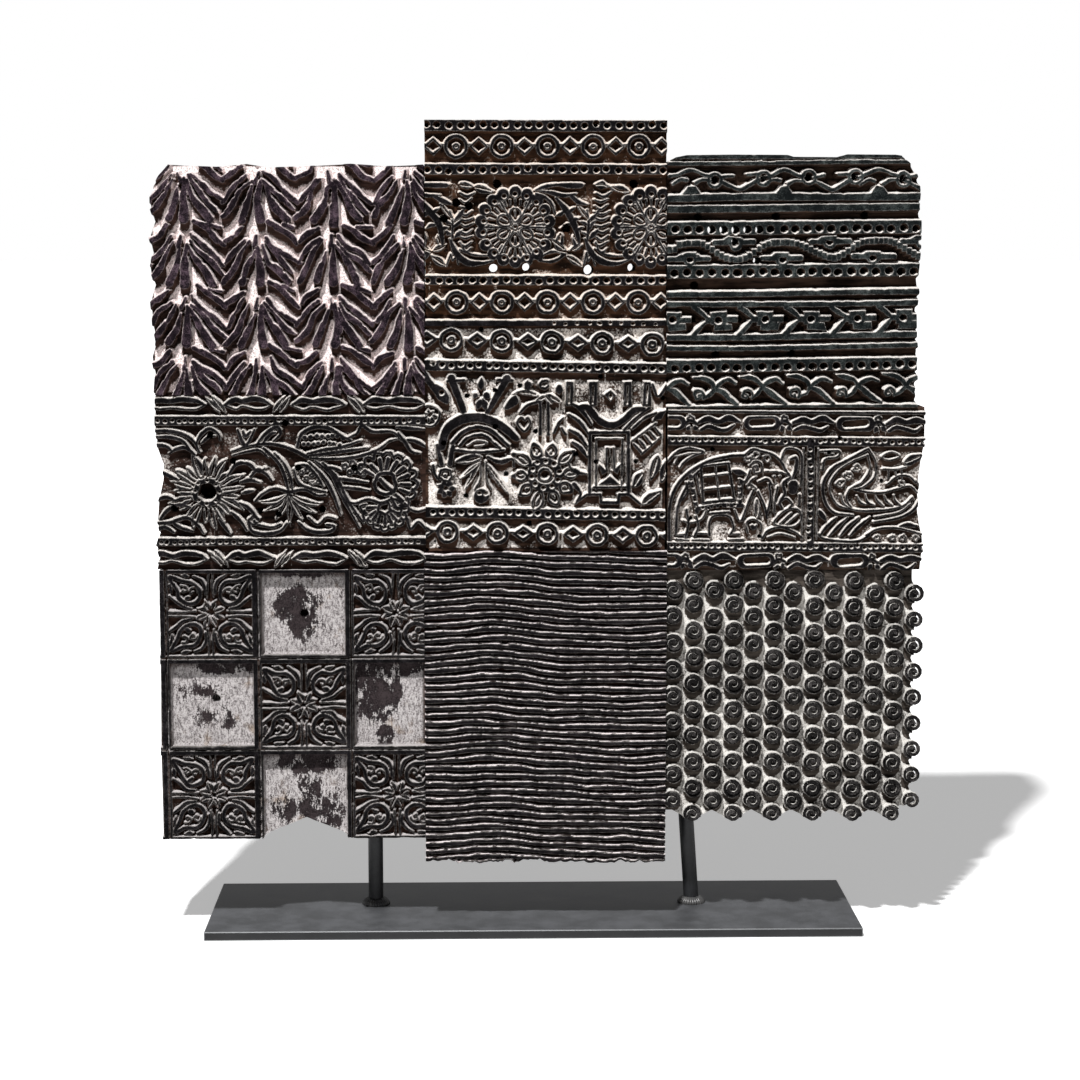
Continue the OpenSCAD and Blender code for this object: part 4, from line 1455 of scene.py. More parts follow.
@dataclass
class ChequerBlock(CarvedBlock):
    """Lower left block: carved tiles and bare chalky squares in a double frame."""

    node: str = "chequer_block"
    ragged: float = 0.6
    seed: int = 30
    pitch: float = 0.58
    depth: float = 4.8
    draft: float = 0.9
    cell: float = 59.8
    cell_drop: float = 3.4
    finish: CarvedWood = BareWood("chequer wood", 30, chalk="b4afae", ledge_chalk_and_light=0.72,
                                  ground_chalk=0.36, rub_and_highlight=0.3)
    bars_across: tuple[float, ...] = (4.2, 63.8, 123.8)
    bars_up: tuple[float, ...] = (-1, 58.6, 119, 178)
    bar: float = 5.6
    notch: Point = (94, 12.6)
    notch_half: float = 27

    def carve(self) -> None:
        """Cuts the notch, the frame and the ornament tiles."""
        r = self.face
        middle, top = self.notch
        left, right = middle - self.notch_half, middle + self.notch_half
        r.trim(Side.BOTTOM, [(left - 1, 0), (left, 1.5), (middle, top), (right, 1.5), (right + 1, 0)], 40)
        r.trim(Side.LEFT, [(0, 0.5), (60, 0.2), (120, 1), (177, 1.5)])
        plain = []
        for column, x in enumerate(self.bars_across):
            for row, z in enumerate(self.bars_up[:3]):
                if (column + row) % 2 == 0:
                    with r.at(x + self.cell / 2, z + self.cell / 2):
                        self.tile()
                else:
                    plain.append((x, z, x + 60, z + 60))
        r.wander = 0.12
        for x in self.bars_across:
            r.box(x - self.bar / 2, -2, x + self.bar / 2, r.height + 2)
        for z in self.bars_up:
            r.box(-2, z - self.bar / 2, r.width + 2, z + self.bar / 2)
        with r.cutting():
            for x in self.bars_across:
                r.line([(x + 0.9, -2), (x + 0.9, r.height + 2)], 0.9, smooth=False)
            for z in self.bars_up:
                r.line([(-2, z + 0.6), (r.width + 2, z + 0.6)], 0.8, smooth=False)
            r.fill([(left, -2), (left, 2), (middle, top + 2), (right, 2), (right, -2)], smooth=False)
        for square in plain:
            r.plain(*square, self.cell_drop)
        # Soot and ink scuffs on the plain squares; the wide flat blots along the top of each square are painted
        # shade below the frame bar.
        soot_and_shade_blots = ((89, 154, 23, 17, 2.2), (93, 141, 20, 18, 1.5), (94, 175, 34, 6, 1.6),
                  (28, 97, 24, 14, 1.1), (32, 80, 22, 14, 1), (43, 80, 8, 16, 1.3), (42, 113, 28, 7, 2.4),
                  (141, 99, 21, 30, 3.4), (146, 67, 8, 10, 2.8), (152, 113, 30, 10, 2.6),
                  (95, 50, 29, 11, 2.6), (96, 26, 11, 22, 2.6), (108, 14, 20, 22, 1.5), (80, 18, 18, 18, 1.4),
                  (94, 62, 30, 6, 1.6))
        for spot in soot_and_shade_blots:
            r.blot(*spot)
        r.pits([(94, 148), (36, 92)], 2.5)

    def tile(self) -> None:
        """Cuts a flower cross with a hollow leaf and its trefoil in each corner."""
        r = self.face
        r.wander = 0.3
        r.petals(8, 1.8, 9.8, 4.4, 1.1, turn=22.5)
        for _ in r.around(4):
            for side in (-1.6, 1.6):
                r.line([(27.4, side), (18, side * 0.9), (10.4, side * 1.2)], 1.3, 1.6, 1.2)
        for turn, flip in ((0, False), (0, True), (180, False), (180, True)):
            with r.at(0, 0, turn, flip=flip):
                r.line([(26, 24), (18.4, 21.4), (11, 20.8), (6.8, 16.4), (6.6, 10.6), (10.4, 6.8),
                        (15.4, 7.2), (19.6, 10.6), (21.4, 16)], 2.6, closed=True)
                r.line([(10.4, 25.2), (5.6, 22.4), (3.4, 18), (3.2, 12.8)], 1.6, 2.4, 1.8)
                r.line([(26.4, 11.4), (22.4, 8.4), (17.8, 4.6), (12, 3.6)], 1.6, 2.4, 1.8)
                r.spiral(17.2, 15.8, 3.1, 0.9, 1.4, start=60)
                r.spiral(11.6, 14.6, 3.1, 0.9, 1.4, start=180, hand=-1)
                r.leaf((12.6, 11.6), (17, 9.6), 3)
                r.leaf((26, 20.4), (25, 13), 2.4)
                r.leaf((20, 25.6), (13, 24.4), 2.4)


@dataclass
class PictorialBlock(CarvedBlock):
    """Middle block: arch, flower, palm and doorway between drilled rails and rows of rings."""

    node: str = "pictorial_block"
    seed: int = 50
    pitch: float = 0.505
    depth: float = 6.0
    draft: float = 1.2
    finish: CarvedWood = CarvedWood("pictorial wood", 50, wood="4a372d", ground_chalk=0.5)

    def carve(self) -> None:
        """Cuts the rails, the rows of rings and the picture between them."""
        r = self.face
        for z, count, x in ((120.6, 26, 5.5), (26, 25, 4.5)):
            r.line([(-4, z), (r.width + 4, z - 3)], 6.8, smooth=False)
            pitch = (r.width - 2 * x) / (count - 1) + 0.1
            r.drill([(x + pitch * i, z + 0.2 - 0.12 * i) for i in range(count)], 1.9)
        self.ring_row(17, 136.4, 7.8)
        self.ring_row(14, 12.8, 7.5)
        self.arch()
        self.palm()
        with r.at(77, 50):
            self.daisy()
        self.doorway()
        r.pits([(27, 100.5), (61, 107), (45, 104), (12, 70.5), (45, 81), (71, 77.5), (97, 63), (136, 58),
                (52, 50), (26, 36), (36, 143), (110, 58), (153, 99), (67, 18), (113, 113)], 1.5)

    def ring_row(self, first: float, z: float, outer: float) -> None:
        """Cuts a row of rings and hollow diamonds that sinks a little to the right.

        Args:
            first: Place of the first ring.
            z: Height of the row at its left end.
            outer: Outer radius of a ring.
        """
        r = self.face
        r.wander = 0.12
        for i in range(6):
            x, low = first + 32.2 * i, z - 0.75 * i
            r.line([(x - 24, low + 1.4), (x - 16, low + 1), (x - 7, low + 1)], 1.3, smooth=False)
            r.diamond(x - 15.5, low + 0.4, (7.4, 5.6), (3.8, 2.6))
            r.ring(x, low, outer, outer - 2.4)
            r.ring(x, low, 2.8, 0.8)
        r.wander = 0.25

    def arch(self) -> None:
        """Cuts the striped arch, its legs and what stands left of it."""
        r = self.face
        r.line([(10.4, 68), (13.6, 78.6), (22, 84.8), (32, 86.8), (42, 85.2), (50, 80.8),
                (58.6, 73.4)], 5.4, 6.4, 6, 5)
        r.line([(17.6, 70.4), (23.4, 77.4), (31, 80.2), (38, 80), (45, 76.8), (53, 68.8)], 2.6, 3, 2.6)
        r.line([(22.4, 69), (27, 73.6), (33, 75.6), (39, 74.6), (48, 67)], 2, 2.6, 2)
        r.line([(27, 68.6), (33, 71.6), (39.4, 70.6), (37, 68.6), (32, 68.4)], 1.2, 1.8, 1.2)
        r.line([(19, 65.6), (34, 64.4), (50, 66)], 1.8, 2.8, 1.8)
        r.leaf((37, 61.4), (19, 58), 6, 1)
        r.line([(40, 61.4), (48, 58), (56.4, 60.2), (57, 55)], 2.2, 3.6, 1.8)
        for foot, width in (((22, 47), 3.4), ((25.4, 40.4), 3), ((48, 41), 2.6), ((54, 36.4), 3.6)):
            r.leaf((37 + 0.1 * (foot[0] - 37), 58), foot, width, 0.9)
        for x in (-1.9, 1.9):
            r.line([(37.6 + x, 59), (37.4 + 1.1 * x, 47), (37 + 2.8 * x, 40.6)], 1.3, 1.5, 1.8)
        r.disc(36.5, 36.4, 5)
        r.drill([(34.4, 38), (39, 38)], 1.2)
        r.line([(17, 112), (24.5, 92)], 5.4, 4.4)
        r.line([(52.5, 112), (40, 90)], 5.2, 3.6)
        r.lines(2.4, [(15, 110.5), (25, 111)], [(47, 111), (56, 110.5)])
        r.leaf((36, 104), (36, 113), 4.2)
        for side in (-1, 1):
            r.leaf((36 + 2 * side, 103), (36 + 5 * side, 99), 4.2)
        r.leaf((36, 99), (33, 92), 4.2)
        r.leaf((37, 99), (40, 92), 4.2)
        r.leaf((15, 96), (6, 108), 8)
        r.drill([(11, 102.5)], 1.6)
        r.line([(-1, 115), (5, 106), (10, 99)], 5, 4, 3)
        with r.at(3, 88):
            r.ring(0, 0, 7.4, 5.8)
            r.petals(7, 1, 5, 2.6)
        r.lines((3, 3.6), [(8, 69), (10.5, 57)], [(17.4, 68), (15.8, 57)])
        r.ring(13, 50, 4.8, 2.8)
        r.disc(13, 50, 1.2)
        r.line([(5, 56), (6, 50), (9, 46)], 2.4, 1.6)
        with r.at(13, 41):
            r.petals(7, 1.4, 6.4, 4)

    def palm(self) -> None:
        """Cuts the palm, its leaves and the heart beside it."""
        r = self.face
        for x in (74.3, 79.2):
            r.line([(x, 76), (x, 97)], 2.4)
        r.ring(76.4, 108, 3.6, 1.5)
        r.leaf((73, 100.5), (56, 101.5), 4, 1, -2)
        r.fill([(50.5, 92), (53, 98), (58, 101.6), (60, 97), (56, 93)])
        for tip in ((88, 96), (82, 94.5), (70, 95)):
            r.leaf((77, 101), tip, 4.4, 1.2)
        r.line([(61, 90), (66, 95), (74, 97.5)], 2, 2.6, 1.6)
        for x, z in ((66, 107.4), (86, 105)):
            r.oval(x, z, 2.4, 3.4)
        r.line([(63.5, 78), (59, 83.5), (61, 87), (63.6, 85), (66.4, 87), (68, 83)], 2, closed=True)
        r.line([(83, 77), (86, 83), (89, 87)], 2.6, 1.4)
        r.line([(90, 76), (87.6, 80)], 2)

    def daisy(self) -> None:
        """Cuts a flower with hollow petals round a drilled disc."""
        r = self.face
        for i in r.around(10, 3):
            reach = 23 + 2.4 * math.sin(2 * i)
            r.leaf((10.5, 0), (reach, 0), 8.8)
            with r.cutting():
                r.leaf((12.8, 0), (reach - 2.4, 0), 5)
            r.leaf((13.4, 0), (reach - 5, 0), 1.8)
        r.disc(0, 0, 11.4)
        with r.cutting():
            r.ring(0, 0, 6.2, 4.9)
        r.drill([(0, 0)], 2.9)
        ring = [math.radians(36 * i + 12) for i in range(10)]
        r.drill([(8.8 * math.cos(a), 8.8 * math.sin(a)) for a in ring], 1.6)

    def doorway(self) -> None:
        """Cuts the doorway, the bands above it and the posts."""
        r = self.face
        for x, z, reach in ((92, 97, 15), (92, 88.6, 13), (93, 79, 11), (94.5, 71, 9.6)):
            r.line([(x, z), (x + 0.55 * reach, z - 0.36 * reach), (x + reach, z - reach)], 2, 3.2, 2)
        r.line([(99, 93.6), (105, 92.4), (111, 85.6), (117, 82), (122, 82), (128, 85.6), (134, 91.6),
                (140, 92)], 3, 5, 4.4, 4.6, 4.6, 4.4, 5, 3)
        r.line([(106, 37), (106, 77.2), (130.6, 77.2), (130.6, 37)], 2.6, smooth=False)
        r.line([(109.8, 40), (109.8, 73), (126.8, 73), (126.8, 40)], 1.6, smooth=False)
        r.line([(116.4, 53), (116.6, 67), (121.2, 67), (121.4, 53)], 1.5, smooth=False)
        for flip in (False, True):
            with r.at(118.9, 0, flip=flip):
                r.fill([(-7.4, 58), (-1.4, 52), (-5, 49.6)], smooth=False)
        r.fill([(111.6, 43.4), (118.9, 49.6), (126.2, 43.4)], smooth=False)
        r.line([(108.4, 41.6), (128.6, 41.6)], 2)
        r.line([(98, 33), (104, 37), (112.4, 37), (113, 31.6), (124, 31.6), (124.6, 37), (131, 37.6),
                (138, 31)], 2.4, smooth=False)
        r.diamond(119, 100.6, (3.8, 4.4), (1.6, 2))
        for x in (92.5, 108, 130, 142.5):
            r.box(x - 2.6, 94, x + 2.6, 110)
            with r.cutting():
                r.line([(x, 96), (x, 107)], 1)
        for x in (0, 5.6):
            r.line([(128 + x, 79), (135 + x, 86), (143 + x, 92.6 - 0.5 * x)], 2.4)
        for i in range(5):
            r.line([(134 + 3.4 * i, 70 + 2.6 * i), (138.5 + 3.2 * i, 64.6 + 2.8 * i)], 1.9)
        r.lines(1.8, [(133, 71.5), (148, 83)], [(139, 63), (152, 75)])
        broad = (((139, 30), (152, 39.4)), ((150, 62), (145, 46)), ((156, 60), (152, 44)),
                 ((140, 52), (134, 41)))
        for base, tip in broad:
            r.leaf(base, tip, 6.4, 1.4)
        r.line([(92, 58), (96, 52), (104, 50)], 2.4, 2.8, 1.6)
        r.line([(96, 44), (100, 38), (97, 31)], 3, 2.6, 1.6)
        r.leaf((146, 84), (156, 92), 4.4)
        r.line([(146, 108), (150, 100), (156, 108)], 2.4)


@dataclass
class BandedBlock(CarvedBlock):
    """Upper right block: zigzags, crosses, houses and scrolls in bands between rails."""

    node: str = "banded_block"
    seed: int = 70
    depth: float = 9.0
    finish: CarvedWood = CarvedWood("banded wood", 70, ink="0d1011", ink_worn="424746", wood="43342c",
                                    ledge_chalk_and_light=0.6, ground_chalk=0.18, rub_and_highlight=0.6)

    def carve(self) -> None:
        """Cuts the rails, then each band."""
        r = self.face
        r.trim(Side.RIGHT, [(0, 0.5), (10, 3), (18, 1), (28, 2), (36, 1), (44, 2), (60, 2.6), (74, 1),
                            (82, 2), (100, 0.5), (118, 0.5), (128, 2), (136, 1.4), (142, 2), (150, 4),
                            (156, 7), (161, 14)], 40)
        r.trim(Side.TOP, [(0, 5), (5, 2.4), (12, 1), (40, 0.6), (76, 0.8), (80, 2), (108, 2.2), (114, 0.4),
                          (145, 0.6), (154, 2), (162, 7)])
        plain = ((159.4, 160.2, 3.2), (154.8, 156.6, 2.6), (133, 134.8, 4.6), (126.4, 127.8, 4.6),
                 (72.2, 73.8, 3.6), (65.6, 67.2, 3.4), (44.8, 46.6, 3.8), (38, 40, 3.2), (0, 1, 2))
        for left, right, thick in plain:
            r.line([(-4, left), (50, left + 0.5), (110, right - 0.5), (r.width + 4, right)], thick)
        for left, right, thick in ((114.2, 115.4, 8.4), (86.8, 88.2, 8.2), (25.6, 28.6, 8)):
            r.line([(-4, left), (r.width + 4, right)], thick, smooth=False)
            pitch = 7.7 if left > 100 else 8.05
            r.drill([(5 + pitch * i, left - 0.9 + (right - left) * i / 20) for i in range(21)], 2.7)
        self.zigzag()
        self.wave()
        self.houses()
        for i in range(-1, 5):
            with r.at(31 + 30.7 * i, 0.4 * i):
                self.scroll()
        for x in (28.1, 35.8, 43.5, 51.2, 58.9):
            r.bore(x, 113.6, 2.7)
        r.bore(43, 106.4, 2.2)
        r.bore(58, 94, 2.4)
        r.pits([(20, 121.6), (70, 122), (127, 123), (18, 78), (32, 34), (81, 34.6)], 2.4)

    def zigzag(self) -> None:
        """Cuts the upper band of rings, tents and hanging points."""
        r = self.face
        for x, z in ((30, 145), (61, 146), (90, 146.6), (119, 147), (150, 146)):
            r.disc(x, z, 5.2)
            r.drill([(x, z)], 3.1)
        for x in (15, 74, 135):
            r.line([(x - 14, 146.5), (x - 8, 148), (x, 151.4), (x + 9, 147.8), (x + 13, 147)], 2.4)
            r.line([(x - 12, 142), (x - 7, 144.6), (x - 3, 144.2)], 2, 2.6)
            r.line([(x + 3, 142.4), (x + 7, 144.8), (x + 12, 144.6)], 2.6, 2)
            r.fill([(x - 6, 135), (x - 2.4, 141), (x + 2.4, 141), (x + 6.4, 135)], smooth=False)
        for x in (46, 105, 164):
            r.line([(x - 12, 144), (x - 6, 141), (x, 138.6), (x + 6, 141.6), (x + 12, 145)], 2.6)
            r.line([(x - 12, 146.4), (x - 4.6, 147.6)], 2.2)
            r.line([(x + 4, 148.4), (x + 11, 148.6)], 2.2)

    def wave(self) -> None:
        """Cuts the stepped wave with holed crosses above and below it."""
        r = self.face
        crest = [(-4, 100.6), (3, 101), (6, 104), (20, 104.6), (31, 98), (38, 95), (48, 95.4), (61, 103.6),
                 (72, 105.4), (83, 103.8), (99, 97), (108, 96.2), (121, 104.8), (132, 106.4), (143, 105.6),
                 (158, 97), (168, 96)]
        curve = smooth_path(np.array(crest, float), closed=False)
        r.wander = 0.1
        for x in range(-3, 168, 3):
            z = float(np.interp(x, curve[:, 0], curve[:, 1]))
            r.box(x, z - 2.1, x + 3.3, z + 2.1)
        r.wander = 0.35
        for x, z in ((43, 105.6), (104, 106.4), (163, 107), (14, 95.4), (73, 95.6), (132, 96.6)):
            r.line([(x - 12.5, z - 0.6), (x + 12.5, z - 0.4)], 3.4, smooth=False)
            r.box(x - 4.4, z - 2, x + 4.4, z + 3.4)
            r.disc(x, z - 1.4, 4)
            r.drill([(x, z - 1.2)], 2.2)
            r.line([(x - 8, z - 0.5), (x - 5, z + 1.4), (x + 5, z + 1.4), (x + 8, z - 0.5)], 2, smooth=False)

    def houses(self) -> None:
        """Cuts the band of holed houses with open arrows between them."""
        r = self.face
        for i in range(6):
            with r.at(3.6 + 29.7 * i, 0.3 * i):
                r.box(-5.2, 52.4, 5.2, 61)
                r.box(-9, 54, 12, 57.8)
                r.box(-3, 49, 9, 54)
                r.line([(13, 64), (17, 61), (22, 57.4)], 3.2, 3.6, 2.4)
                r.line([(13, 46), (17, 50.4), (21.6, 55)], 3.6, 3.2, 2)
            r.drill([(3.6 + 29.7 * i, 56 + 0.3 * i)], 2.4)
            r.pits([(17.4 + 29.7 * i, 56 + 0.3 * i)], 1.6)

    def scroll(self) -> None:
        """Cuts one crossing of a leaf and a curled stem."""
        r = self.face
        r.line([(-14, 19.4), (-7, 18.8), (-2, 15.6), (0, 12.4)], 1.4, 3.4, 3.4, 2.8)
        r.line([(0, 12.4), (4, 16), (9, 17.8), (13.4, 15.2)], 2.6, 3.2, 2.8, 1.8)
        r.line([(0, 12.4), (5, 9.4), (10, 5.2), (15, 1.8)], 2.8, 4, 3.2, 2)
        r.line([(0, 12.4), (-3, 8.4), (-6.6, 6)], 2.8, 2.8, 2)
        r.spiral(-10.4, 7.8, 4, 1.2, 2.2, 2.2, 1.6, start=-30)


@dataclass
class ElephantBlock(CarvedBlock):
    """Middle right block: an elephant and a peacock beside a beaded post, between beaded borders."""

    node: str = "elephant_block"
    seed: int = 80
    pitch: float = 0.45
    depth: float = 4.6
    draft: float = 0.7
    ragged: float = 0.4
    finish: CarvedWood = CarvedWood("elephant wood", 80, wood="4d3d34", ledge_chalk_and_light=0.85, ground_chalk=0.45)

    def carve(self) -> None:
        """Cuts the borders, the rails and both animals."""
        r = self.face
        r.trim(Side.RIGHT, [(0, 1.5), (8, 1), (14, 0), (22, 0.5), (30, 2.5), (40, 4), (60, 3.6), (70, 2.4),
                            (78, 1), (84, 0), (106, 0.3)])
        for z, shift in ((90, 0), (0.4, -2.5)):
            with r.at(shift, z):
                self.border()
        for left, right in ((85.4, 83.6), (16.4, 15)):
            r.line([(-4, left), (r.width + 4, right)], 5.8, smooth=False)
            r.drill([(3 + 4.3 * i, left - (left - right) * i / 38) for i in range(39)], 1.3)
        r.line([(-4, 103.4), (r.width + 4, 102)], 2, smooth=False)
        r.line([(92.2, 17), (92.2, 84)], 4.8, smooth=False)
        r.drill([(92.2, 21.4 + 4.75 * i) for i in range(13)], 1.35)
        for x in (87.4, 97):
            r.line([(x, 20), (x, 79)], 1.1, smooth=False)
        r.swell = 0.75
        self.elephant()
        self.vines()
        self.peacock()
        r.pits([(29, 79), (104, 77), (139, 58), (15, 34), (60, 22), (111, 86)], 1.3)

    def border(self) -> None:
        """Cuts a border of capsules, sprigs and fish-shaped leaves."""
        r = self.face
        for i in range(3):
            with r.at(60.7 * i, -0.5 * i):
                r.line([(-8, 6.4), (7.4, 6.4)], 9.6)
                with r.cutting():
                    r.line([(-6, 6.4), (6, 6.4)], 5)
                r.line([(11, 6), (14, 8), (18, 5.4)], 2.4)
                r.ring(14.2, 9, 2.6, 0.9)
                r.leaf((14, 5), (11.6, 0.6), 3.6)
                r.leaf((16, 5), (19, 1), 3.6)
                r.line([(20, 6.4), (26, 8.8), (32, 7), (39, 9), (46, 7)], 2.6, 4.6, 3.4, 4.8, 2)
                r.line([(21, 1.6), (26, 4), (33, 2.4), (38, 1.4), (42.6, 4.6)], 2.4, 3.2, 3, 2.8, 1.6)

    def elephant(self) -> None:
        """Cuts the elephant with its saddle cloth."""
        r = self.face
        r.line([(1.4, 20), (1, 40), (5, 54), (14, 65), (27, 72), (40, 74.4), (50, 75)], 3, 3.4, 3)
        r.line([(6, 24), (6.4, 40), (9.6, 51), (16, 61), (22, 66)], 2.4, 3, 2.4)
        r.line([(49, 75), (55, 79), (61, 77.4), (68, 75), (73, 71), (76, 66), (79, 62)], 2.6)
        r.rings([(51.6, 72.6), (56.6, 75), (64, 73)], 2.6, 1.1)
        r.spiral(57.4, 66.6, 5.2, 1.4, 2, 2.2, 2, start=160, hand=-1)
        r.line([(21.4, 68), (39.6, 70.6), (43.4, 47), (22.6, 44.4)], 2.6, smooth=False, closed=True)
        r.line([(30.6, 69), (33, 46)], 1.9)
        r.line([(22, 61.4), (41, 63.6)], 1.9)
        r.line([(22.4, 53), (42.6, 55.4)], 1.9)
        r.line([(17.4, 64), (21, 50)], 2)
        r.line([(14.4, 61.4), (18.6, 38)], 4.2)
        r.drill([(15 + 0.75 * i, 59 - 4.4 * i) for i in range(5)], 1.3)
        r.line([(20, 40.6), (34, 42.6), (48, 43)], 4.2)
        r.drill([(22.6 + 4.1 * i, 41.2 + 0.33 * i) for i in range(6)], 1.3)
        r.line([(47, 58), (46.6, 43)], 4)
        r.drill([(46.8, 55.8 - 4.2 * i) for i in range(3)], 1.3)
        r.leaf((41, 66), (51, 63.4), 4)
        r.line([(53, 66), (50, 58.4), (46, 60)], 2.2)
        r.line([(57, 61), (53, 57.6), (57, 53.4)], 2)
        r.ring(52.6, 55.2, 2.4, 0.9)
        r.line([(59, 58), (64, 60), (67, 56)], 2.4)
        r.line([(63, 64.4), (72, 64.4), (79, 62)], 2)
        r.disc(68.4, 60.8, 1.4)
        r.disc(72.6, 61, 1.4)
        r.line([(79, 61), (75, 57), (75.6, 50), (72.4, 45), (74, 41)], 2.6, 3.4, 3, 2.4)
        r.line([(66, 57), (66.6, 47), (64, 36)], 2.6)
        r.line([(71, 55), (69.6, 46), (69, 38)], 2)
        r.line([(55.4, 53), (51.6, 43), (48.4, 33)], 2.4)
        r.line([(58, 52), (62, 42), (64.6, 34)], 2.6)
        r.leaf((58, 47), (58, 34), 4.4, 1.2)
        r.line([(12, 40), (13.6, 31), (12, 22)], 2.6)
        r.line([(18, 36), (20.4, 30), (17.6, 23)], 2.4)
        r.line([(9.6, 46), (13, 52), (12, 57)], 2.4)
        r.line([(10, 33), (15, 31.4), (22, 34), (25, 38)], 2)
        r.line([(27.4, 24), (27, 30), (30, 35), (35, 36.6), (40, 35), (43, 29), (41, 24)], 2.4)
        r.line([(28, 37.4), (40.4, 38.6)], 2.6)
        r.line([(44, 40), (47, 32.6), (50, 39)], 2)
        for left, right in ((5, 14), (16.4, 27), (40.4, 48.6)):
            r.line([(left + 1.6, 24.4), (right - 1.6, 24.4)], 2)
            r.line([(left, 20.6), (right, 20.6)], 2)
        r.line([(52, 25), (51, 31), (55, 33.6), (60, 31), (60.4, 26)], 2.2)
        r.oval(55.8, 28.6, 2.6, 2)
        r.line([(0, 71), (6, 78), (14, 79.4), (23.4, 77.6), (16, 75), (11, 71), (8, 67)], 2.4)
        r.line([(4, 74.4), (12, 76), (20, 76.6)], 1.6)
        r.line([(4, 70), (7, 74)], 1.8)

    def vines(self) -> None:
        """Cuts the loops, the veined leaf and the hill in front of the elephant."""
        r = self.face
        r.line([(73.6, 72), (76, 78.6), (82, 79.4), (86, 75), (86.4, 66), (86, 55)], 2, 2.8, 2)
        r.line([(79, 72.6), (82.6, 74), (83, 67), (80.4, 60)], 3, 4, 2)
        r.oval(81, 54.4, 3.6, 5)
        r.lines(2.4, [(85, 50), (85.4, 43)], [(71.4, 43.6), (76, 46.6), (80, 44), (79, 41)],
                [(61.6, 21), (65, 26), (73, 28.2), (82, 26), (87, 21)])
        r.line([(70, 31), (72.4, 37), (78, 40), (85, 39), (86, 32), (80, 28.6)], 2.2, closed=True)
        r.lines(1.8, [(73, 31), (80, 37)], [(77, 30), (84, 36.4)])
        r.line([(65, 21.6), (73, 24.4), (83, 21.6)], 2)

    def peacock(self) -> None:
        """Cuts the peacock with its tail raised."""
        r = self.face
        r.line([(120, 36), (108, 38), (101.4, 47), (101.4, 57), (107, 67), (117, 73),
                (130, 79.4)], 2.6, 3.4, 2.6)
        r.line([(121, 39.6), (111, 42), (105.6, 49.4), (105.6, 57), (110, 65), (119, 70.6),
                (129, 75)], 2, 2.2, 1.8)
        r.lines(2.4, [(130, 79.4), (134.4, 71), (134, 61), (128, 55), (122, 52.4)],
                [(142, 56), (149, 61), (156, 61), (161, 57)],
                [(98.6, 78), (110.4, 78.6), (109, 74), (102, 72), (100, 66)],
                [(97.6, 24), (101, 20.6), (112, 19.6), (124, 19.6), (130.6, 23)],
                [(129, 23), (137, 27), (149, 27.6), (165, 24)])
        r.line([(129, 75), (130.8, 66), (126, 58), (118, 53), (115.4, 46.6), (119, 41.6)], 2.2)
        for x, z in ((112, 56.6), (117, 61.4), (122.4, 66.4)):
            r.ring(x, z, 3.1, 1.5)
            r.disc(x, z, 0.9)
        r.line([(112, 49), (114.6, 43.6), (123, 39), (140, 39), (152, 42), (158.6, 47.4)], 1.8, 2.6, 2.2)
        r.line([(121, 53), (129, 51), (138, 50.4), (147, 53.4), (157, 55), (161.6, 51)], 2.6, 2.4, 2)
        for x in (122.4, 128, 134, 140, 146):
            r.line([(x, 48.8), (x + 2, 45), (x + 6, 42.4)], 1.6, 2.6, 1.4)
        r.line([(160, 58), (163, 54), (163.4, 47), (159, 39), (150, 34.4), (134, 31)], 2, 3.2, 2.4)
        r.line([(157, 43.4), (150, 38), (134, 35)], 1.9)
        r.ring(151.6, 56.8, 2.2, 0.9)
        r.line([(139, 65.6), (147, 65.8), (154, 67.6)], 2)
        for x in (142.6, 147, 151):
            r.line([(x, 66), (x + 0.6, 59.6)], 1.8)
        r.line([(139, 74), (144, 77), (150, 74), (144, 71.2)], 1.8, closed=True)
        r.leaf((152.6, 69.4), (164, 75), 6.6, 1.2)
        r.line([(101, 76), (107, 76.4)], 1.6)
        r.leaf((97.6, 40), (103, 32), 4)
        for x in (98, 105, 112, 119):
            r.line([(x, 22.6), (x + 4.6, 28), (x + 12, 34.6)], 2, 3.6, 2)
        r.leaf((150, 29.6), (163, 29), 3.4)
        r.rings([(136, 21.4), (146, 21.4), (153, 21.4), (161.4, 21.4)], 2.4, 0.9)


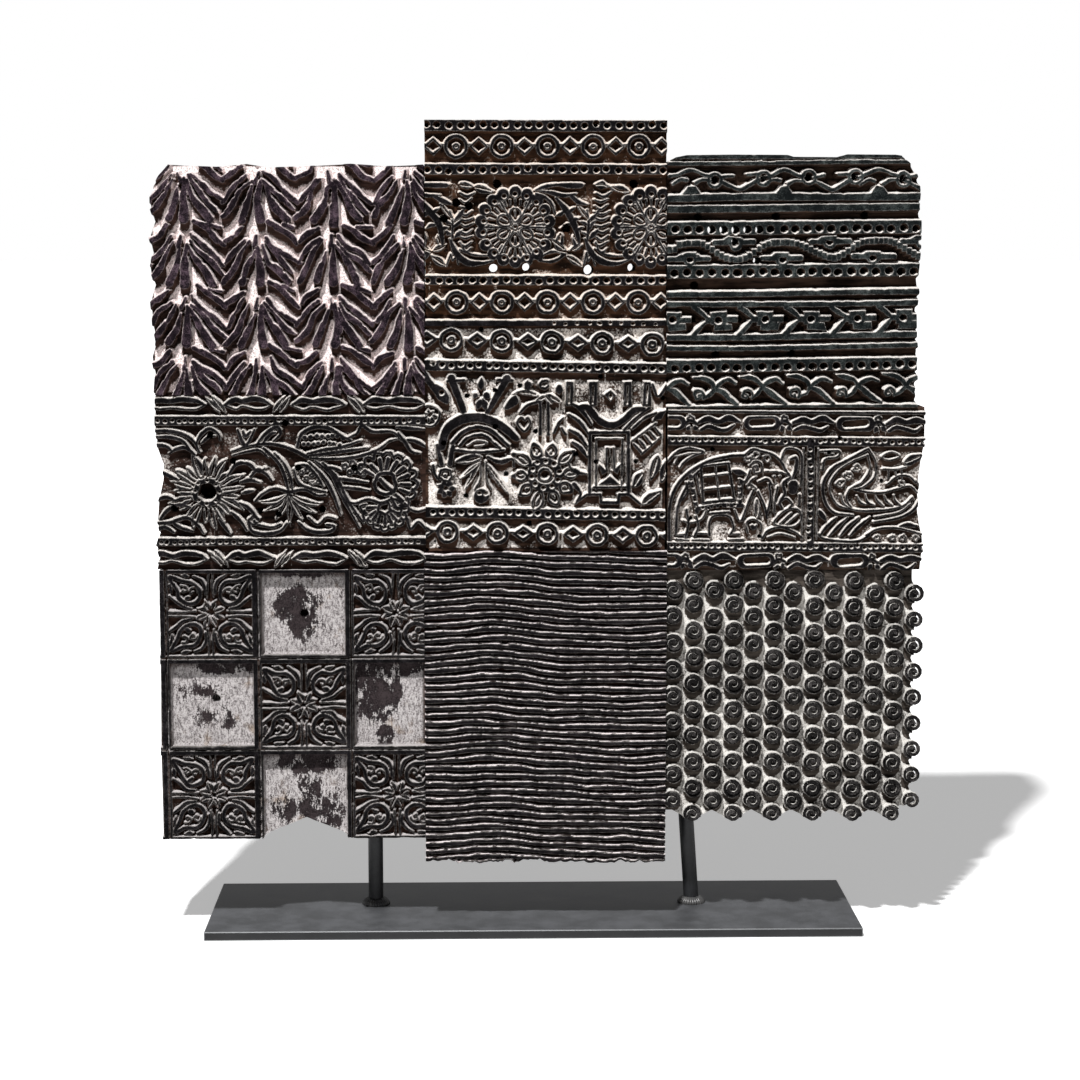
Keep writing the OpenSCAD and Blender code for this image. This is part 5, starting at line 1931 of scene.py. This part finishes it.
@dataclass
class RibbedBlock:
    """Lower middle block: wavy ribs that follow one rule from top to bottom."""

    node: str = "ribbed_block"
    rib_pitch: float = 5.02
    half_width: float = 1.25
    depth: float = 6.5
    draft: float = 0.8
    columns: int = 104
    rows: int = 420
    finish: CarvedWood = CarvedWood("ribbed wood", 60, ink="0b090b", ink_worn="2b2628", wood="2e1d19",
                                    chalk="e0d6d6", ledge_chalk_and_light=0.6, ground_chalk=-0.1, rub_and_highlight=0.85)

    def build(self) -> None:
        """Grows the ribs over a closed slab."""
        low, high = block_box(self.node)
        wide, thick, tall = high - low
        g = Growth("ribs", Width=wide, Thickness=thick, Height=tall, Pitch=self.rib_pitch,
                   Half_Width=self.half_width, Depth=self.depth, Draft=self.draft, Left=low[0],
                   Front=low[1], Low=low[2])
        sides = (("Left", "Width"), ("Front", "Thickness"), ("Low", "Height"))
        middle = [g[label] + g[size] * 0.5 for label, size in sides]
        slab = g.make("MeshCube", Size=g.vector(g["Width"], g["Thickness"], g["Height"]),
                      Vertices_X=self.columns, Vertices_Y=5, Vertices_Z=self.rows)
        place = g.make("InputPosition")
        x, y, z = g.parts(place)
        front = (0 - y).maths("GREATER_THAN", g["Thickness"] * 0.5 - 0.01)
        across, up = x + g["Width"] * 0.5, z + g["Height"] * 0.5
        slow = g.sheet.noise(45, 61, 1, (1, 1, 0.5), place) - 0.5
        quick = g.sheet.noise(7, 62, 2, (2.6, 1, 0.6), place) - 0.5
        bulge = across.step(6, 42) * (1 - across.step(42, 86)) * 1.8 - across.step(40, 150) * 3
        sway = g.sheet.noise(14, 65, 2, (1, 1, 0.9), place) - 0.5
        row = (up - bulge + 5.5 * slow + 1.8 * sway + 0.9 * quick) / g["Pitch"]
        side = row.maths("FRACT") - 0.5
        chip = g.sheet.noise(5, 63, 2, (2.2, 1, 0.8), place).step(0.66, 0.74)
        rim = side.maths("ABSOLUTE") * g["Pitch"] - g["Half Width"] + 1.3 * quick + 1.2 * sway + chip
        wall = rim.maths("DIVIDE", g["Draft"], clamp=True)
        top = 0.45 * rim.step(-1, 0) + 0.25 + 1.1 * (quick + 0.25).maths("MAXIMUM", 0)
        sink = front * (wall * g["Depth"] + (1 - wall) * top)
        ragged = (g.sheet.noise(6, 64, 3, (1, 1, 40), place) - 0.42).maths("MAXIMUM", 0)
        foot = (1 - up.step(0, 5)) * ragged * 10
        slab = g.store(slab, "POINT", relief=front * (1 - wall), rim=front * rim + (1 - front) * RIM_LIMIT,
                       lift=front * wall.step(0.02, 0.1) * side.maths("SIGN"))
        slab = g.make("SetPosition", Geometry=slab, Offset=g.vector(0, sink, foot))
        slab = g.make("Transform", Geometry=slab, Translation=g.vector(*middle))
        material = self.finish.material()
        mesh = g.grow(slab, material)
        self.bake_map(mesh)
        new_piece("ribbed_carving", mesh, material, self.node + "_wood", self.node)

    @staticmethod
    def bake_map(mesh: Mesh) -> None:
        """Lays the faces out flat.

        Args:
            mesh: The block's mesh, which holds its rim.
        """
        places, rim = np.empty(3 * len(mesh.vertices)), np.empty(len(mesh.vertices))
        corners = np.empty(len(mesh.loops), int)
        mesh.vertices.foreach_get("co", places)
        mesh.attributes["rim"].data.foreach_get("value", rim)
        mesh.loops.foreach_get("vertex_index", corners)
        places, corners = places.reshape(-1, 3), corners.reshape(-1, 4)
        low, high = places.min(0), places.max(0)
        share = ((places - low) / (high - low))[corners]
        front = (rim[corners] < RIM_LIMIT - 0.001).all(1)[:, None, None]
        back = (share[..., 1] > 0.999).all(1)[:, None, None]
        rest = np.where(back, BakeMap.back(share), BakeMap.sides(share))
        BakeMap.store(mesh, np.where(front, BakeMap.front(share), rest))


@dataclass
class SpiralBlock(CarvedBlock):
    """Lower right block: staggered spiral studs on a chalky slab with a zigzag foot."""

    node: str = "spiral_block"
    seed: int = 90
    pitch: float = 0.62
    depth: float = 6.5
    draft: float = 0.5
    # Leans the chalk and painted light towards the studs' upper left, the lamp's side.
    dust_and_light_lean: float = 55.0
    column: float = 13.1
    row: float = 17.42
    radius: float = 6.5
    band: float = 2.35
    groove: float = 2.4
    turns: float = 1.35
    finish: CarvedWood = CarvedWood("spiral wood", 90, ink="121111", ink_worn="4f4c4b", wood="57504a",
                                    wood_dark="1c1816", chalk="d6d3ce", ledge_chalk_and_light=0.6,
                                    ground_chalk=0.55, painted_shadow_strength=0.6)

    def spots(self) -> list[Point]:
        """Places of the studs: columns set half a step apart, sinking a little to the right."""
        found = [(4.5 + self.column * i, 15.5 + self.row * j - 9 * (i % 2) - 0.28 * i * (0.3 + 0.078 * j))
                 for i in range(13) for j in range(10)]
        return [(x, min(z, 161.2)) for x, z in found if z < 165]

    def carve(self) -> None:
        """Cuts the zigzag foot, the scalloped right edge and the cores of the studs."""
        r = self.face
        foot = [(4.5 + self.column * i, 1 if i % 2 else 8) for i in range(12)]
        r.trim(Side.BOTTOM, [*foot, (153, 9), (167, 14)], 20)
        r.trim(Side.RIGHT, [(14.5 + 8.58 * i, 6 if i % 2 else 2.4) for i in range(18)])
        for x, z in self.spots():
            r.disc(x, z, self.radius - 0.4)
        r.pits(self.spots(), self.radius - 0.8, self.groove)

    def painted_shadow_and_edges(self, ridges: Array) -> Array:
        """Painted shadow below the studs, and darker ground along the top edge."""
        return np.maximum(super().painted_shadow_and_edges(ridges), np.clip((self.face.z - 155) / 5, 0, 1))

    def build(self) -> None:
        """Builds the slab and sets the spiral bands on its cores."""
        super().build()
        low, _ = block_box(self.node)
        g = Growth("spiral studs", Radius=self.radius, Band=self.band, Depth=self.depth, Turns=self.turns,
                   Least=0.94, Most=1.04, Left=low[0], Front=low[1], Low=low[2])
        turn, size = g.random(-0.35, 0.35, 7), g.random(g["Least"], g["Most"], 8)
        studs = g.make("InstanceOnPoints", Points=g["Spots"], Instance=self.stud(g),
                       Rotation=g.vector(0, turn, 0), Scale=g.vector(size, 1, size))
        studs = g.make("RealizeInstances", Geometry=studs)
        depth = g.parts(g.make("InputPosition"))[1]
        across, facing, up = g.parts(g.make("InputNormal"))
        # Up for the chalk and painted light is leaned towards the lamp's side.
        lean = math.radians(self.dust_and_light_lean)
        lift = up * math.cos(lean) - across * math.sin(lean)
        top = (0 - facing).maths("GREATER_THAN", 0.8) * (1.2 - depth).maths("GREATER_THAN", 0)
        studs = g.store(studs, "FACE", relief=1 - depth / g["Depth"], rim=1.5 - 3 * top, lift=lift)
        studs = g.make("Transform", Geometry=studs, Translation=g.vector(g["Left"], g["Front"], g["Low"]))
        material = self.finish.material()
        mesh = g.grow(studs, material, [(x, 0.2, z) for x, z in self.spots()])
        new_piece("spiral_studs", mesh, material, self.node + "_wood", self.node)

    def stud(self, g: Growth) -> Signal:
        """One spiral band, its eye at the stud's middle and its top at the face.

        Args:
            g: The tree that it is made in.

        Returns:
            The band.
        """
        path = g.make("CurveSpiral", Resolution=12, Rotations=g["Turns"], Start_Radius=0.9, Height=0.0,
                      End_Radius=g["Radius"] - g["Band"] * 0.5, Reverse=True)
        profile = g.make("CurvePrimitiveQuadrilateral", Width=g["Band"], Height=g["Band"] * 1.3)
        band = g.make("CurveToMesh", Curve=path, Profile_Curve=profile, Fill_Caps=True)
        band = g.make("Transform", Geometry=band, Translation=g.vector(0, 0, g["Band"] * -0.65))
        return g.make("Transform", Geometry=band, Rotation=(math.pi / 2, 0, 0))


def islands(node: str) -> list[tuple[Array, Array]]:
    """Boxes of a node's separate solids.

    Args:
        node: The node's name.

    Returns:
        Lowest and highest corner of each, in millimetres.
    """
    work = bmesh.new()
    work.from_mesh(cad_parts[node].data)
    bmesh.ops.remove_doubles(work, verts=work.verts, dist=1e-6)
    left, found = set(work.verts), []
    while left:
        group = [left.pop()]
        for vert in group:
            fresh = {edge.other_vert(vert) for edge in vert.link_edges} & left
            left -= fresh
            group.extend(fresh)
        places = np.array([vert.co for vert in group]) / MM
        found.append((places.min(0), places.max(0)))
    work.free()
    return sorted(found, key=lambda b: tuple(b[0]))


@dataclass
class BasePlate:
    """Flat plate on the ground, its edges rubbed pale and its upright sides given painted shade."""

    node: str = "base_plate"
    bevel: float = 0.7
    segments: int = 3
    finish: BlackSteel = BlackSteel("plate steel", 3, "47484a", "5d5e61", 0.5)

    def build(self) -> None:
        """Builds the plate with rounded edges."""
        low, high = (Vector(c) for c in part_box(self.node))
        work = bmesh.new()
        edge, side = (work.faces.layers.float.new(name) for name in ("edge", "side"))
        bmesh.ops.create_cube(work, size=1, matrix=Matrix.LocRotScale((low + high) / 2, None, high - low))
        done = bmesh.ops.bevel(work, geom=work.edges, offset=self.bevel * MM, segments=self.segments,
                               profile=0.5, affect="EDGES")
        work.normal_update()
        for face in work.faces:
            # Marks the upright faces for painted shade in the finish.
            face[side] = abs(face.normal.z) < 0.5
        for face in done["faces"]:
            face[edge] = 1
        mesh = bpy.data.meshes.new(self.node)
        work.to_mesh(mesh)
        work.free()
        mesh.shade_smooth()
        mesh.set_sharp_from_angle(angle=PLATE_SHARP)
        new_piece("plate", mesh, self.finish.material(), Slot.STEEL.value, self.node)


@dataclass
class Welds:
    """Weld seams laid as overlapping ripples."""

    foot_step: float = 1.5
    foot_inset: float = 2.6
    foot_rise: float = 1.9
    foot_ripple: tuple[float, float, float] = (3.5, 1.5, 1.7)
    foot_slope: float = 48
    bar_step: float = 1.15
    bar_inset: float = 0.9
    bar_ripple: tuple[float, float, float] = (2.3, 2.2, 1.2)
    fillet: float = 5.0
    segments: int = 9
    rings: int = 6
    finish: BlackSteel = BlackSteel("weld steel", 7, "333335", "5b5a59", 0.38)

    def build(self) -> None:
        """Lays the seams round the feet of the posts and along the bars."""
        material = self.finish.material()
        for node in ("left_post_weld", "right_post_weld"):
            (low, high), = islands(node)
            (x, y, _), radius = (low + high) / 2, (high[0] - low[0]) / 2 - self.foot_inset
            count = round(2 * math.pi * radius / self.foot_step)
            angles = [2 * math.pi * i / count for i in range(count)]
            z = low[2] + self.foot_rise
            spots = [(x + radius * math.cos(a), y + radius * math.sin(a), z) for a in angles]
            self.seam(node, spots, self.foot_ripple, material, (x, y))
        for node in ("left_bar_welds", "right_bar_welds"):
            spots = []
            for low, high in islands(node):
                count = round((high[2] - low[2]) / self.bar_step)
                lean = high[0] - low[0] - self.fillet
                for share in ((i + 0.5) / count for i in range(count)):
                    x = (low[0] + high[0]) / 2 + (0.5 - share) * lean
                    spots.append((x, low[1] + self.bar_inset, low[2] + share * (high[2] - low[2])))
            self.seam(node, spots, self.bar_ripple, material)

    def seam(self, node: str, spots: list[tuple[float, float, float]], radii: tuple[float, float, float],
             material: Material, middle: Point | None = None) -> None:
        """Lays one node's ripples.

        Args:
            node: The node that they stand for.
            spots: Middles of the ripples, in millimetres.
            radii: Half sizes of a ripple, the first away from the middle.
            material: Their finish.
            middle: Where the ripples turn their first axis away from, if they turn.
        """
        turned = middle is not None
        across, depth = middle or (0, 0)
        g = Growth(node, Across=radii[0], Along=radii[1], Up=radii[2], Middle_X=across, Middle_Y=depth)
        x, y, _ = g.parts(g.make("InputPosition"))
        turn = (y - g["Middle Y"]).maths("ARCTAN2", x - g["Middle X"]) * int(turned)
        size = g.random(0.9, 1.04, 5)
        bead = g.make("MeshUVSphere", Segments=self.segments, Rings=self.rings, Radius=1.0)
        bead = g.make("Transform", Geometry=bead, Scale=g.vector(g["Across"], g["Along"], g["Up"]))
        tilt = math.radians(self.foot_slope) * turned
        beads = g.make("InstanceOnPoints", Points=g["Spots"], Instance=bead, Rotation=g.vector(0, tilt, turn),
                       Scale=g.vector(size, size, size))
        new_piece(node + "_ripples", g.grow(beads, material, spots), material, Slot.WELD.value, node)


@dataclass
class Screws:
    """Cross-slotted wood screws through the bars."""

    sides: int = 18
    rings: int = 10
    slot: float = 1.1
    slot_depths: Point = (2.4, 2)
    shank: float = 2
    shank_sides: int = 12
    overlap: float = 1.6
    finish: BlackSteel = BlackSteel("screw steel", 9, "4a4b4c", "8a8a88", 0.35)

    def build(self) -> None:
        """Sets each bar's screws with their slots turned at random."""
        material = self.finish.material()
        for node in ("top_bar_screws", "middle_bar_screws", "bottom_bar_screws"):
            boxes = islands(node)
            low, high = boxes[0]
            g = Growth(node, Head=(high[0] - low[0]) / 2, Rise=high[1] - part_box("top_bar")[1][1] / MM,
                       Shank=self.shank, Length=high[1] - low[1] - 1, Slot=self.slot)
            turn = g.random(0.0, 3.1, 11)
            screws = g.make("InstanceOnPoints", Points=g["Spots"], Instance=self.screw(g),
                            Rotation=g.vector(0, turn, 0))
            spots = [((a[0] + b[0]) / 2, b[1], (a[2] + b[2]) / 2) for a, b in boxes]
            new_piece(node + "_set", g.grow(screws, material, spots), material, Slot.SCREW.value, node)

    def screw(self, g: Growth) -> Signal:
        """One screw, the top of its head at the origin and its shank towards the front.

        Args:
            g: The tree that it is made in.

        Returns:
            The screw.
        """
        dome = g.make("MeshUVSphere", Segments=self.sides, Rings=self.rings, Radius=g["Head"])
        dome = g.make("Transform", Geometry=dome, Scale=g.vector(1, 1, g["Rise"] / g["Head"]),
                      Translation=g.vector(0, 0, 0 - g["Rise"]))
        first, second = self.slot_depths
        slots = ((g["Head"] * 1.3, g["Slot"], first), (g["Slot"], g["Head"] * 1.3, second))
        cuts = [g.make("MeshCube", Size=g.vector(*size)) for size in slots]
        node = g.sheet.node("GeometryNodeMeshBoolean", {"operation": "DIFFERENCE"}, {"Mesh 1": dome})
        head = g.gather(node, "Mesh 2", *cuts)
        shank = g.make("MeshCylinder", Vertices=self.shank_sides, Radius=g["Shank"], Depth=g["Length"])
        shift = g["Length"] * -0.5 - self.overlap
        shank = g.make("Transform", Geometry=shank, Translation=g.vector(0, 0, shift))
        whole = g.gather(g.sheet.node("GeometryNodeJoinGeometry"), 0, head, shank)
        return g.make("Transform", Geometry=whole, Rotation=(-math.pi / 2, 0, 0))


@dataclass
class Rods:
    """Posts and bars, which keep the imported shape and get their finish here."""

    posts: BlackSteel = BlackSteel("post steel", 13, "18181a", "2e2f31", 0.42)
    bars: BlackSteel = BlackSteel("bar steel", 17, "2d2d2e", "4c4b4a", 0.55)

    def build(self) -> None:
        """Finishes the posts and the bars."""
        for finish, nodes in ((self.posts, ("left_post", "right_post")),
                              (self.bars, ("top_bar", "middle_bar", "bottom_bar"))):
            material = finish.material()
            for name in nodes:
                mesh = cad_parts[name].data
                mesh.materials.clear()
                mesh.materials.append(material)
                LOG.info("%s: finished", name)


@dataclass
class Studio:
    """Pale floor, soft key lamp, weak fill and the photograph's camera."""

    camera_place: tuple[float, float, float] = (-0.031, -1.578, 0.450)
    camera_yaw: float = 0.0228
    camera_pitch: float = 0.1231
    lens: float = 79.87
    lamp_place: tuple[float, float, float] = (-0.45, -1.5, 2.25)
    lamp_radius: float = 0.065
    lamp_power: float = 62.0
    ambient: float = 0.07
    sheen: float = 0.35
    floor_tone: float = 0.9
    floor_glow: float = 0.4
    floor_half: float = 30.0
    floor_front: float = -6.0
    floor_back: float = 60.0
    fade: Point = (0.7, 2.2)

    def build(self) -> None:
        """Sets the camera, the floor, the lamps and the world."""
        scene = bpy.context.scene
        scene.view_settings.view_transform = "Standard"
        camera = bpy.data.objects.new("camera", bpy.data.cameras.new("camera"))
        camera.data.lens = self.lens
        camera.location = self.camera_place
        camera.rotation_euler = (math.pi / 2 - self.camera_pitch, 0, -self.camera_yaw)
        scene.collection.objects.link(camera)
        scene.camera = camera
        self.lamp()
        self.world()
        self.floor()

    def lamp(self) -> None:
        """Adds the key lamp in front of the panel, near enough for its shadows to spread."""
        data = bpy.data.lights.new("key", "POINT")
        data.energy, data.shadow_soft_size = self.lamp_power, self.lamp_radius
        data.use_nodes = True
        sheet = Sheet(data.node_tree)
        even = sheet.add("ShaderNodeLightFalloff", None, {"Strength": 1.0}, "Constant")
        connect(sheet, data.node_tree.nodes["Emission"], Strength=even)
        lamp = bpy.data.objects.new("key", data)
        lamp.location = self.lamp_place
        bpy.context.scene.collection.objects.link(lamp)

    def world(self) -> None:
        """Makes the world white to the camera, paler to mirrors and a weak grey light to the rest."""
        world = bpy.data.worlds.new("studio")
        bpy.context.scene.world = world
        world.use_nodes = True
        sheet = Sheet(world.node_tree)
        path = sheet.node("ShaderNodeLightPath")
        seen = Signal(sheet, path.outputs["Is Camera Ray"])
        mirrored = Signal(sheet, path.outputs["Is Glossy Ray"])
        background = world.node_tree.nodes["Background"]
        background.inputs["Color"].default_value = (1, 1, 1, 1)
        strength = self.ambient + seen * (1 - self.ambient) + mirrored * (self.sheen - self.ambient)
        connect(sheet, background, Strength=strength)

    def floor(self) -> None:
        """Lays a white floor that keeps the panel's shadow."""
        mesh = bpy.data.meshes.new("floor")
        side, front, back = self.floor_half, self.floor_front, self.floor_back
        corners = [(-side, front, 0), (side, front, 0), (side, back, 0), (-side, back, 0)]
        mesh.from_pydata(corners, [], [(0, 1, 2, 3)])
        floor = bpy.data.objects.new("floor", mesh)
        bpy.context.scene.collection.objects.link(floor)
        material, sheet, shader = new_material("floor")
        shader.inputs["Base Color"].default_value = (*[self.floor_tone] * 3, 1)
        shader.inputs["Roughness"].default_value = 1
        shader.inputs["Specular IOR Level"].default_value = 0
        seen = sheet.add("ShaderNodeLightPath", output="Is Camera Ray")
        spot = sheet.add("ShaderNodeTexCoord", output="Object")
        away = sheet.add("ShaderNodeVectorMath", {"operation": "LENGTH"}, {0: spot}, "Value")
        pale = sheet.blend(away.step(*self.fade), (*[self.floor_glow] * 3, 1), (1, 1, 1, 1))
        glow = sheet.blend(seen, (0, 0, 0, 1), pale)
        shader.inputs["Emission Strength"].default_value = 1
        connect(sheet, shader, Emission_Color=glow)
        mesh.materials.append(material)


def main() -> None:
    """Builds the studio, the blocks and the stand."""
    logging.basicConfig(level=logging.INFO, format="%(message)s")
    Studio().build()
    for block in (ChevronBlock(), FloralBlock(), ChequerBlock(), RosetteBlock(), PictorialBlock(),
                  RibbedBlock(), BandedBlock(), ElephantBlock(), SpiralBlock()):
        block.build()
    for part in (BasePlate(), Rods(), Welds(), Screws()):
        part.build()


if __name__ == "__main__":
    main()
